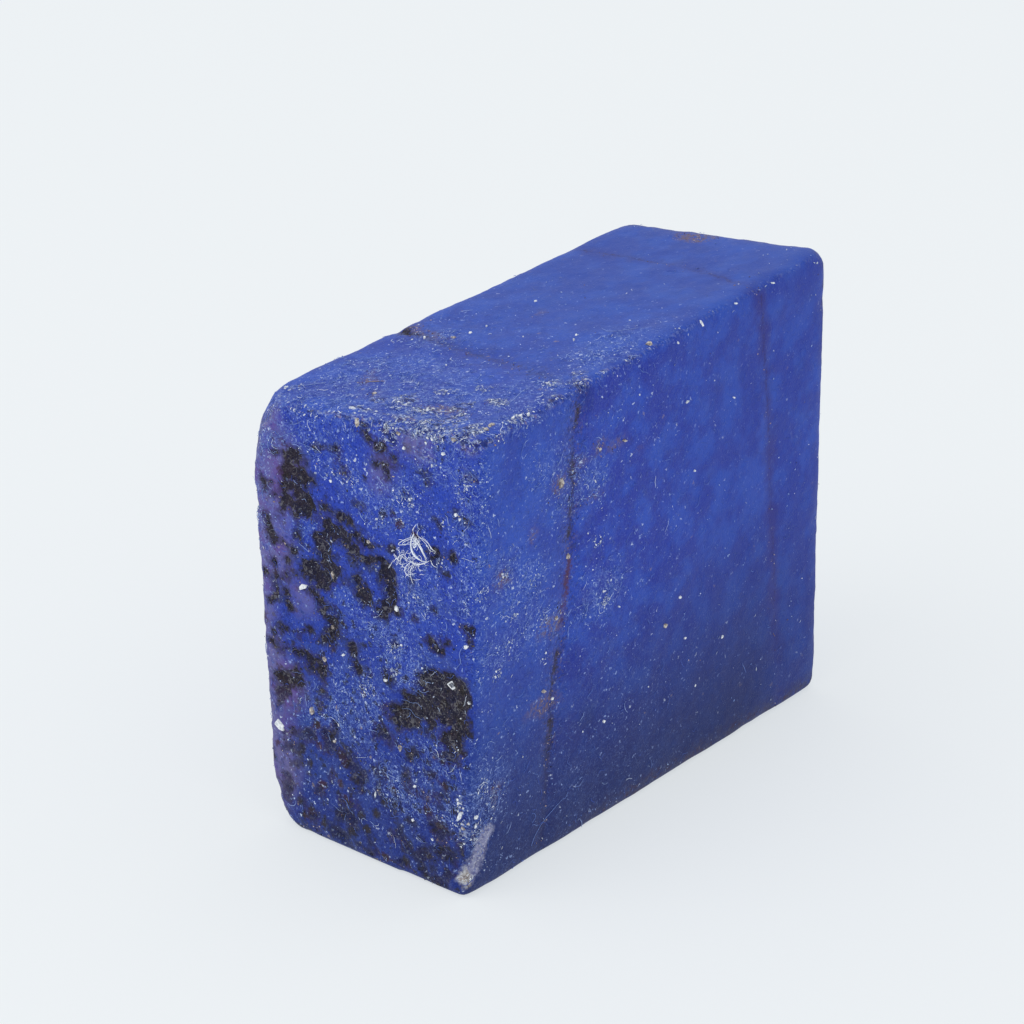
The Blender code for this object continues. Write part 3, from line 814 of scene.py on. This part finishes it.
def stuck_piece(name, spots, sides, material, tones=None):
    """A mesh that rides with the stone; tones are one value a point, for its colour."""
    mesh = bpy.data.meshes.new(name)
    mesh.from_pydata(spots, [], sides)
    if tones is not None:
        tone = mesh.attributes.new("tone", "FLOAT", "POINT")
        tone.data.foreach_set("value", np.asarray(tones, np.float32))
    mesh.materials.append(material)
    mesh.validate()
    piece = bpy.data.objects.new(name, mesh)
    scene.collection.objects.link(piece)
    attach(piece, "root")
    return piece


def grains(name, material, picked, half_sizes, seed, thickness=(.45, .9)):
    """One mesh of small angular grains that lie on the stone, each with a tone of its own."""
    draw = np.random.default_rng(seed)
    middles, normals = picked
    count = len(middles)
    form = bmesh.new()
    bmesh.ops.create_icosphere(form, subdivisions=1, radius=1)
    corners = np.array([corner.co for corner in form.verts])
    sides = np.array([[corner.index for corner in side.verts] for side in form.faces])
    form.free()
    across = unit(np.cross(normals, draw.normal(size=(count, 3))))
    ahead = np.cross(normals, across)
    thick = draw.uniform(*thickness, count)
    frames = np.stack([across * draw.uniform(.5, 1.8, (count, 1)), ahead, normals * thick[:, None]], 1)
    shapes = corners * draw.uniform(.65, 1.2, (count, len(corners), 1))
    low_size, high_size = half_sizes
    size = (low_size + (high_size - low_size) * draw.random(count) ** 2) * MM
    spots = np.einsum("nki,nij->nkj", shapes, frames) * size[:, None, None]
    spots += (middles + normals * (size * thick * .3)[:, None])[:, None]
    numbers = sides + np.arange(count)[:, None, None] * len(corners)
    tones = np.repeat(draw.random(count), len(corners))
    return stuck_piece(
        name, spots.reshape(-1, 3), numbers.reshape(-1, 3).tolist(), material, tones
    )


def toned_material(name, stops, roughness=.85):
    """A matt material whose colour goes by each grain's tone."""
    material, shader = new_material(name, roughness, .3)
    Wire.node("ValToRGB", {"stops": stops}, {"Fac": carried("tone")}).into(shader, "Base Color")
    return material


pale_dust = toned_material("pale_dust", (
    (0, (.08, .15, .44, 1)), (.5, (.22, .32, .64, 1)), (.85, (.5, .61, .84, 1)), (1, (.84, .89, .95, 1)),
))
brown_grit = toned_material("brown_grit", (
    (0, (.06, .04, .04, 1)), (.4, (.17, .11, .11, 1)), (.75, (.37, .27, .25, 1)), (1, (.6, .52, .5, 1)),
))
cream_grit = toned_material("cream_grit", (
    (0, (.1, .14, .36, 1)), (.35, (.3, .36, .54, 1)), (.7, (.6, .65, .74, 1)), (1, (.9, .93, .96, 1)),
))
black_grit = toned_material("black_grit", (
    (0, (.004, .004, .005, 1)), (.7, (.03, .024, .018, 1)), (1, (.1, .085, .07, 1)),
))

# Small heaps of white crumbs: on the end (y, z), on the front (x, z) and on the top (x, y).
HEAPS_ON_END = (
    (.9, 20.2, .35, .25), (2.1, 19.9, .22, .18), (-2.1, 20.4, .25, .28), (-1.2, 18.8, .28, .24),
    (-2.2, 18.9, .3, .24), (-2.9, 20, .26, .26), (-3.2, 15.2, .5, .3), (-5, 19.6, .22, .3),
    (-6.1, 21.4, .35, .35), (-4.8, 17.4, .3, .3), (-1.9, 12.2, .5, .4), (-.2, 9.4, .5, .5),
    (3.1, 22.9, .4, .14), (.9, 23.3, .7, .12), (-6.2, 5, .1, .5), (-2, 10.9, .4, .3),
    (-6.3, 3.9, .3, .4),
)
HEAPS_ON_FRONT = (
    (-12.4, 16.9, .4, .3), (-10, 15.6, .3, .4), (-13.8, 16.4, .3, .3), (-11.6, 14.4, .4, .2),
    (-9.2, 13.4, .3, .3), (-11.8, 13, .3, .3), (-12.6, 11.8, .3, .3), (-8.8, 11.2, .3, .2),
    (-5, 16, .4, .3), (-14, 3, .2, .3), (-13.4, 6, .3, .5), (-4.4, 12.6, .4, .4),
)
HEAPS_ON_TOP = (
    (-11.1, -6.8, .75, .22), (-13.9, -3, .3, 1.6), (-10, -4.8, .35, .5), (-7.4, -5.6, .3, .4),
    (-6.3, -6.6, .4, .3), (-10, -1.4, .3, .4), (-12.2, -.6, .5, .6), (-8.9, -2.8, .4, .4),
)
# Where each kind lies thick.
seen = .25 + .75 * crisp
clump = rise(relief(1.4, 1, 31), -.05, .5)
clump_small = rise(relief(.55, 1, 33), -.05, .40)
bare = 1 - .5 * floor_of_rock
near_rock = rise(rock, -.45, -.1) * (1 - .5 * rise(rock, .1, .4))
near_fracture = rise(-near_main, -.45, -.05) + .4 * rise(-near_fine, -.4, -.05)
ragged_edge = wear * rise(relief(.8, 1, 32), -.1, .35)
crusty = (crust + .5 * ragged_edge) * (.15 + clump_small)
heaps = within({"end": HEAPS_ON_END, "front": HEAPS_ON_FRONT, "top": HEAPS_ON_TOP}, (x, y, z))
heaps = rise(heaps, -.15, .12)
browned = 1.8 * stain + .8 * near_fracture + .3 * near_rock + .7 * crusty + .004

for name, paint, weight, count, half_sizes, seed in (
    ("pale_dust", pale_dust, (.06 + dust) * (.3 + clump) * seen * bare, 5200, (.014, .040), 41),
    ("bright_dust", pale_dust, (.10 + dust) * (.2 + clump) * seen, 520, (.026, .060), 42),
    ("brown_grit", brown_grit, browned, 1300, (.014, .046), 43),
    ("cream_grit", cream_grit, crusty ** 1.3 + .60 * heaps + .0004, 1500, (.014, .072), 44),
    ("black_grit", black_grit, near_rock + .6 * crusty + .004, 600, (.016, .050), 45),
):
    grains(name, paint, pick(weight, count, seed), half_sizes, seed + 10)

# ---------------------------------------------------------------- chips and flakes
# Larger splinters of pale mineral and rusty host rock have stuck to the block: flat,
# sharp-edged slivers up to 0.7 mm across.
CHIP_THICKNESS = .10
UNEVEN = .25                       # share by which their corners are off,
UNEVEN_SQUARE = .08                # and that share with four corners
# Place on its side and half sizes in mm, turn in degrees, and number of corners.
WHITE_CHIPS = {
    "end": (
        (5.45, 5.45, .3, .34, 20, 5), (3.8, 13.5, .36, .16, 40, 5), (-2.15, 14.2, .18, .16, 0, 5),
        (-6.5, 13.6, .16, .12, 20, 5), (-5.85, 20.2, .14, .12, 0, 5), (-6.05, 20, .12, .1, 60, 5),
        (-1.5, 10.25, .15, .09, 10, 5), (-.8, 3.8, .05, .2, 0, 4), (-6.15, 4.5, .14, .36, -25, 5),
        (1.15, 10.75, .15, .09, 30, 5), (-3.35, 5.15, .14, .1, 30, 5), (-4.45, 2.65, .1, .08, 0, 5),
        (.45, 21.1, .1, .07, 40, 5), (-4.3, 23.5, .09, .08, 0, 5), (-4, 23.5, .09, .09, 0, 5),
        (2, 19.6, .12, .1, 0, 5), (-5, 23, .14, .12, 0, 5), (-3.25, 3.3, .09, .09, 0, 5),
        (-2.6, 22.6, .12, .1, 20, 5), (-5.26, 11.03, .36, .29, 4, 4), (-6.86, 4.45, .13, .12, 0, 6),
        (-6.81, 3.95, .09, .17, 0, 5), (-6.1, 5.2, .08, .13, 0, 5), (-6, 9.6, .07, .05, 20, 5),
        (-6.55, 10.6, .1, .06, -20, 5),
    ),
    "front": (
        (2.7, 24.65, .091, .25, 25, 5), (.62, 24.35, .07, .084, 30, 5), (1.62, 20.9, .15, .084, 15, 5),
        (5.6, 19.75, .13, .063, -30, 5), (1.65, 10.25, .13, .11, 0, 5), (2.3, 7.7, .1, .07, 20, 5),
        (-8.35, 8.6, .12, .09, 10, 5), (-6, 16.6, .056, .056, 0, 4), (-3.35, 11.65, .07, .063, 0, 5),
        (-5.55, 19.2, .056, .15, 30, 5), (-4.15, 5.6, .098, .11, 20, 5), (5.5, 24.8, .17, .063, -10, 5),
        (8.6, 24.9, .21, .07, -15, 5), (2.45, 16.9, .084, .063, 0, 5), (5.5, 6.5, .13, .098, 20, 5),
    ),
    "top": (
        (-3.15, 2.95, .15, .1, 20, 5), (-4.55, 4.7, .17, .07, 30, 5), (-1.5, -2.4, .14, .07, 35, 5),
        (-2.1, -2.75, .11, .06, 35, 5), (-7.15, 1, .1, .06, 30, 5), (-2.1, 2.8, .12, .07, 30, 5),
        (-12.5, 6.5, .14, .1, 0, 5), (-11.3, -6.75, .22, .08, 20, 6), (-10.9, -6.85, .18, .07, 0, 5),
        (-10.5, -7, .16, .08, 30, 5), (-13.5, 1.3, .08, .3, 0, 5), (1.6, 2.8, .13, .09, 20, 4),
    ),
}
GOLD_CHIPS = {
    "end": (
        (.35, 23, .16, .26, 10, 6), (3.3, 6.95, .2, .26, 0, 5), (-2.4, 6.9, .14, .22, 0, 5),
        (1.8, 5.85, .12, .1, 0, 5), (2.1, 11.8, .14, .12, 0, 5), (-.45, 17.2, .14, .12, 0, 5),
        (2.4, 10.1, .2, .16, 0, 5), (2.1, 14.6, .1, .24, 15, 5), (-2.2, 23.2, .16, .1, 0, 6),
        (-6.34, 3.91, .12, .15, 20, 6), (-6.57, 4.2, .09, .09, 0, 6), (-5.5, 23.8, .16, .09, 0, 6),
    ),
    "front": (
        (-8.3, 20.1, .2, .3, 10, 6), (-1.05, 24.7, .2, .22, 10, 5), (-7.45, 15.9, .16, .2, 0, 5),
        (.5, 9.1, .2, .16, 0, 5), (-8.2, 12.9, .16, .14, 0, 5), (-9.1, 9.3, .22, .1, -20, 5),
        (-12.5, 24.3, .24, .2, 10, 6), (-3.4, 20.6, .2, .09, -20, 5), (-5.3, 20.8, .12, .16, 0, 5),
    ),
    "top": ((-4, 3.3, .14, .2, 0, 5), (-11.5, 1.7, .16, .12, 10, 5), (-13, -6.6, .14, .16, 0, 5)),
}
CLEAR_CHIPS = {"end": ((-5.26, 11.03, .19, .15, 4, 4),)}    # glassy middle of the square one
FAR_OFF = 60                       # a side is reached by a straight line from this far away, in mm
EDGE_REACH = {"end": 14, "front": 6.5, "top": 23.5}      # its rounded edges are this far out, in mm
skin_tree = BVHTree.FromPolygons((points * MM).tolist(), corner_point.reshape(-1, 4).tolist())


def on_skin(side, u, v):
    """A place on a side of the stone, given in mm: its point, normal, right and upward directions."""
    start, way, right = {
        "end": ((-FAR_OFF, u, v), (1, 0, 0), (0, -1, 0)),
        "front": ((u, -FAR_OFF, v), (0, 1, 0), (1, 0, 0)),
        "top": ((u, v, FAR_OFF), (0, 0, -1), (1, 0, 0)),
    }[side]
    start, way, right = Vector(start) * MM, Vector(way), Vector(right)
    spot, normal, _, _ = skin_tree.ray_cast(start, way)
    if spot is None:               # just past a rounded edge
        spot, normal, _, _ = skin_tree.find_nearest(start + way * (FAR_OFF - EDGE_REACH[side]) * MM)
    normal = (normal - way).normalized()
    right = (right - normal * right.dot(normal)).normalized()
    return spot, normal, right, normal.cross(right)


def chips(name, material, rows_by_side, seed, lift=0):
    """One mesh of flat slivers with uneven corners, lying on the sides of the stone."""
    draw = np.random.default_rng(seed)
    spots, sides = [], []
    for side, rows in rows_by_side.items():
        for u, v, half_u, half_v, turn, corner_count in rows:
            spot, normal, right, up = on_skin(side, u, v)
            turn = math.radians(turn)
            long_way = right * math.cos(turn) + up * math.sin(turn)
            short_way = normal.cross(long_way)
            uneven = UNEVEN if corner_count > 4 else UNEVEN_SQUARE
            shift = draw.uniform(-uneven, uneven, corner_count)
            angles = 2 * math.pi * (np.arange(corner_count) + shift) / corner_count
            reach = draw.uniform(1 - uneven, 1 + uneven / 2, corner_count) * MM
            rim = [
                long_way * (half_u * r * math.cos(a)) + short_way * (half_v * r * math.sin(a))
                for a, r in zip(angles, reach)
            ]
            thick = CHIP_THICKNESS * draw.uniform(.7, 1.3) * MM
            first = len(spots)
            spot = spot + normal * lift * MM
            spots += [spot + r - normal * thick * .5 for r in rim]
            spots += [spot + r * .82 + normal * thick * draw.uniform(.35, .8) for r in rim]
            lower = list(range(first, first + corner_count))
            upper = [i + corner_count for i in lower]
            sides += [lower[::-1], upper]
            for i in range(corner_count):
                j = (i + 1) % corner_count
                sides.append([lower[i], lower[j], upper[j], upper[i]])
    return stuck_piece(name, spots, sides, material)


def mottled_material(name, dark, light, roughness):
    """A material that is mottled between two colours."""
    material, shader = new_material(name, roughness, .5)
    over(light, step(grain(.12, 2, 1.0), .40, .60), dark).into(shader, "Base Color")
    return material


white_chip = mottled_material("white_chip", (.62, .66, .72, 1), (.92, .94, .95, 1), .5)
gold_chip = mottled_material("gold_chip", (.22, .18, .17, 1), (.60, .55, .49, 1), .6)
clear_chip = mottled_material("clear_chip", (.045, .050, .075, 1), (.20, .22, .27, 1), .3)
chips("white_chips", white_chip, WHITE_CHIPS, 61)
chips("gold_chips", gold_chip, GOLD_CHIPS, 62)
chips("clear_chip", clear_chip, CLEAR_CHIPS, 61, .05)

# ---------------------------------------------------------------- loose fibres
# Textile lint: short bent threads 0.02 to 0.03 mm thick lie all over the rough skin, and
# a few longer ones, with one bit of straw, have settled on the end, the front and the top.
FIBRE_COUNT = 3000
FIBRE_LENGTH = (.15, .85)
FIBRE_HALF_WIDTH = (.008, .016)
FIBRE_POINTS = 6
# Splinters of pale mineral lie in the crust like short stiff fibres.
SPLINTER_COUNT = 800
SPLINTER_LENGTH = (.06, .22)
SPLINTER_HALF_WIDTH = (.010, .026)
# Longer ones: side, half width, tone, and the places that they pass, in mm.
LONG_FIBRES = (
    ("end", .014, .75, ((4.6, 21.8), (4.2, 21.9), (3.75, 22.2))),
    ("end", .013, .6, ((6, 21), (5.7, 20.8), (5.2, 20.95), (4.65, 21.3), (4.05, 21.6))),
    ("end", .014, .62, ((4.4, 20.9), (3.8, 21.05), (3.2, 21), (2.6, 20.8))),
    ("end", .014, .7, ((-2.4, 9.5), (-2.8, 9.3), (-3.2, 9.5), (-3.5, 9.2))),
    ("end", .013, .66, ((-2.3, 8.9), (-2.8, 9), (-3.1, 8.7), (-3.7, 8.8))),
    ("end", .013, .7, ((-5.9, 12.3), (-6.2, 12.7), (-6.1, 13.2), (-6.4, 13.7))),
    ("front", .017, .55, (
        (-9.6, .9), (-9.5, 1.3), (-8.9, 1.7), (-8.3, 2.15), (-7.4, 2.6), (-7, 2.5),
    )),
    ("top", .016, .72, ((-.3, -3), (-.6, -3.7), (-.2, -4.3), (.3, -4.8))),
    ("top", .018, .8, ((-12.6, 6.6), (-12.4, 6.2), (-12, 5.8), (-11.8, 5.4), (-11.3, 5))),
    ("top", .014, .72, ((-10, -5.4), (-9.5, -5.3), (-8.8, -5), (-8.1, -5))),
)
STRAW = (("top", .03, .8, ((-10.4, 3.2), (-10.1, 2.3))),)
LONG_POINTS = 16
THREAD_LIFT = .03                  # their middles lie this far off the skin, in mm
ASLANT = (.31, .52, .80)           # a direction that no thread takes


def laid_thread(start, normal, length, count, curl, draw):
    """Points of a thread that lies along the stone from a point on it, turning as it goes."""
    heading = Vector(np.cross(normal, draw.normal(size=3))).normalized()
    spot, normal, turn = Vector(start), Vector(normal), draw.normal(0, curl)
    thread = []
    for _ in range(count):
        thread.append(spot + normal * (.02 + .05 * draw.random()) * MM)
        spot, normal, _, _ = skin_tree.find_nearest(spot + heading * (length * MM / (count - 1)))
        turn = .6 * turn + draw.normal(0, curl * .5)
        heading = heading - normal * heading.dot(normal)
        heading = (heading.normalized() + normal.cross(heading) * turn).normalized()
    return thread


def threads(name, material, lines, half_widths, tones):
    """One mesh of three-sided closed tubes along lines of points, tapered to their ends."""
    spots, sides, tone = [], [], []
    for line, half_width, shade in zip(lines, half_widths, tones):
        path = np.array(line)
        ahead = unit(np.gradient(path, axis=0))
        across = unit(np.cross(ahead, ASLANT))
        above = np.cross(across, ahead)
        width = half_width * MM * (.35 + .65 * np.sin(np.linspace(.25, math.pi - .25, len(path))))
        first = len(spots)
        for point, right, up, reach in zip(path, across, above, width):
            for angle in (0, 2 * math.pi / 3, 4 * math.pi / 3):
                spots.append(point + reach * (right * math.cos(angle) + up * math.sin(angle)))
        tone += [shade] * (3 * len(path))
        last = len(spots) - 3
        sides += [[first, first + 2, first + 1], [last, last + 1, last + 2]]
        for ring in range(first, last, 3):
            for i in range(3):
                j = (i + 1) % 3
                sides.append([ring + i, ring + j, ring + 3 + j, ring + 3 + i])
    return stuck_piece(name, spots, sides, material, tone)


def strewn(name, material, starts, lengths, count, curl, half_width, gloom):
    """Threads that lie where they fell; the more gloom, the more of them have low tones."""
    lines = [laid_thread(p, n, length, count, curl, rng) for p, n, length in zip(*starts, lengths)]
    half_widths = rng.uniform(*half_width, len(lines))
    threads(name, material, lines, half_widths, rng.random(len(lines)) ** gloom)


def eased(path, rounds):
    """A path with its corners rounded."""
    for _ in range(rounds):
        path[1:-1] = (path[:-2] + 2 * path[1:-1] + path[2:]) / 4
    return path


def curve(places, count, rounds):
    """A path of count points through places, with its corners rounded."""
    stations = np.linspace(0, len(places) - 1, count)
    ways = [np.interp(stations, range(len(places)), way) for way in zip(*places)]
    return eased(np.stack(ways, 1), rounds)


def bent_threads(name, material, rows):
    """Threads through given places on the sides of the stone."""
    sides, half_widths, tones, places_of = zip(*rows)
    lines = []
    for side, places in zip(sides, places_of):
        laid = [on_skin(side, u, v) for u, v in curve(places, LONG_POINTS, 4)]
        lines.append([spot + normal * THREAD_LIFT * MM for spot, normal, _, _ in laid])
    threads(name, material, lines, half_widths, tones)


fibre = toned_material("lint_fibre", (
    (0, (.05, .10, .46, 1)), (.5, (.13, .22, .58, 1)), (.85, (.34, .45, .76, 1)), (1, (.82, .88, .95, 1)),
), .8)
rng = np.random.default_rng(71)
starts = pick((.10 + dust) * (.4 + clump) * (.08 + .92 * crisp), FIBRE_COUNT, 72)
shortest, longest = FIBRE_LENGTH
lengths = shortest + (longest - shortest) * rng.random(FIBRE_COUNT) ** 2
strewn("loose_fibres", fibre, starts, lengths, FIBRE_POINTS, .65, FIBRE_HALF_WIDTH, 2.1)

starts = pick(crusty ** 1.2 + .30 * heaps + .002, SPLINTER_COUNT, 73)
lengths = rng.uniform(*SPLINTER_LENGTH, SPLINTER_COUNT)
strewn("pale_splinters", cream_grit, starts, lengths, 3, .3, SPLINTER_HALF_WIDTH, 1)

bent_threads("long_fibres", fibre, LONG_FIBRES)
bent_threads("straw", brown_grit, STRAW)

# ---------------------------------------------------------------- lint ball
# A tangle of white cotton fibres about 2 mm across is caught on the rough end: a few
# round loops with a bright twist in the middle, frayed ends below and a tail above.
BALL_PLACE = (-3.35, 17.65)        # y and z on the end, in mm
# Half width and lift of each strand that can be told apart, and the places that it passes, in
# mm to the right of and above the middle of the ball.
BALL_STRANDS = (
    (.018, .1, ((.07, 1.3), (-.02, 1.09), (-.05, .83))),
    (.013, .06, ((-.12, 1.12), (-.06, 1), (-.05, .8))),
    (.042, .3, ((-.07, .84), (-.04, .47), (-.02, .19), (.18, -.16), (.44, -.44), (.7, -.65))),
    (.034, .26, ((-.03, .8), (-.08, .4), (.02, .1), (.26, -.2), (.52, -.52), (.72, -.62))),
    (.032, .34, ((0, .71), (.13, .57), (.35, .47), (.61, .26), (.75, -.02), (.79, -.33), (.72, -.61))),
    (.026, .3, ((.1, .72), (.3, .6), (.55, .38), (.72, .1), (.78, -.2), (.74, -.52))),
    (.034, .24, ((.04, .7), (.2, .62), (.32, .42), (.14, .28), (.02, .16))),
    (.032, .28, ((.06, .6), (.24, .5), (.36, .32), (.2, .18), (.04, .3), (.08, .52))),
    (.026, .22, ((.26, .68), (.44, .52), (.3, .34), (.08, .4), (0, .56))),
    (.022, .32, ((.22, .73), (.53, .68), (.88, .54), (1.14, .33), (1.29, .08), (1.34, -.13), (1.14, -.26))),
    (.017, .28, ((.3, .66), (.6, .58), (.83, .43), (1.05, .19), (1.05, -.02), (1.2, -.22))),
    (.015, .24, ((.4, .7), (.74, .6), (1, .4), (1.16, .16), (1.1, -.12), (.9, -.26))),
    (.02, .18, ((-.1, .7), (-.53, .61), (-.83, .47), (-.88, .36), (-.61, .36), (-.31, .38), (-.1, .3))),
    (.014, .14, ((-.15, .62), (-.48, .54), (-.7, .4), (-.52, .3), (-.3, .44), (-.12, .5))),
    (.022, .12, ((-1.32, -.22), (-1.2, -.14), (-1.02, -.28), (-.88, -.52), (-.7, -.3), (-.62, -.12))),
    (.018, .14, ((-1.3, -.1), (-1.12, -.34), (-.92, -.4), (-.84, -.16), (-.66, -.24), (-.58, -.46))),
    (.018, .1, ((-.94, -.58), (-.8, -.36), (-.72, -.1), (-.5, -.22), (-.38, -.44), (-.22, -.06))),
    (.016, .16, ((-.4, .02), (-.52, -.24), (-.4, -.46), (-.24, -.28), (-.12, -.5))),
    (.03, .22, ((-.3, -.52), (0, -.61), (.35, -.68), (.7, -.68), (.9, -.6))),
    (.02, .18, ((-.22, -.6), (.1, -.72), (.42, -.74), (.66, -.62))),
    (.022, .14, ((-.1, -.56), (-.3, -.64), (-.44, -.79), (-.48, -1), (-.39, -1.17), (-.22, -1.38))),
    (.02, .12, ((-.04, -.62), (-.13, -.96), (-.16, -1.2), (-.1, -1.52), (-.07, -1.74))),
    (.015, .1, ((.06, -.66), (-.26, -.84), (-.32, -1.06), (-.04, -1.12), (-.12, -1.34))),
    (.018, .06, ((-.12, -1.48), (.1, -1.53), (.39, -1.51))),
    (.014, .05, ((.28, -1.3), (.42, -1.24), (.62, -1.3))),
    (.02, .08, ((.96, -.56), (1.08, -.64), (1.16, -.8), (1.34, -.96))),
)
BALL_SLANT = .35                   # they all rise by this share of a mm for each mm to the right
BALL_LIFT = .05                    # where a strand ends, its middle lies this far off the stone, in mm
# Shorter curls fill it out: how many, about where, and how widely they are spread.
BALL_CURLS = (
    (14, (.12, .4), .16), (12, (-.8, -.28), .26), (12, (-.2, -.95), .24), (7, (.5, -.4), .26),
)
CURL_LENGTH = (.35, .95)
CURL_HALF_WIDTH = (.010, .017)
CURL_LIFT = (.05, .30)
CURL_POINTS = 12
rng = np.random.default_rng(81)
middle, out, right, up = on_skin("end", *BALL_PLACE)


def ball_thread(places, lift, count):
    """Points of a thread of the ball through places on the end, raised between its ends."""
    thread = []
    for t, (u, v) in zip(np.linspace(0, 1, count), curve(places, count, 2)):
        spot, _, _, _ = skin_tree.find_nearest(middle + (right * u + up * (v + BALL_SLANT * u)) * MM)
        thread.append(spot + out * (BALL_LIFT + lift * math.sin(math.pi * t) ** .6) * MM)
    return eased(np.array(thread), 3)          # a stiff fibre bridges small hollows of the stone


ball_lines = [ball_thread(places, lift, 5 * len(places)) for _, lift, places in BALL_STRANDS]
half_widths = [half_width for half_width, _, _ in BALL_STRANDS]
for count, (u, v), spread_out in BALL_CURLS:
    for _ in range(count):
        heading, turn = rng.uniform(0, 2 * math.pi), rng.normal(0, .45)
        step_length = rng.uniform(*CURL_LENGTH) / CURL_POINTS
        place = np.array((u, v)) + rng.normal(0, spread_out, 2)
        curl = []
        for _ in range(CURL_POINTS):
            curl.append(place)
            heading += turn + rng.normal(0, .25)
            place = place + step_length * np.array((math.cos(heading), math.sin(heading)))
        ball_lines.append(ball_thread(curl, rng.uniform(*CURL_LIFT), CURL_POINTS))
        half_widths.append(rng.uniform(*CURL_HALF_WIDTH))
cotton = toned_material("cotton", ((0, (.70, .77, .90, 1)), (1, (.95, .97, .98, 1))), .8)
threads("lint_ball", cotton, ball_lines, half_widths, .35 + .65 * rng.random(len(ball_lines)))
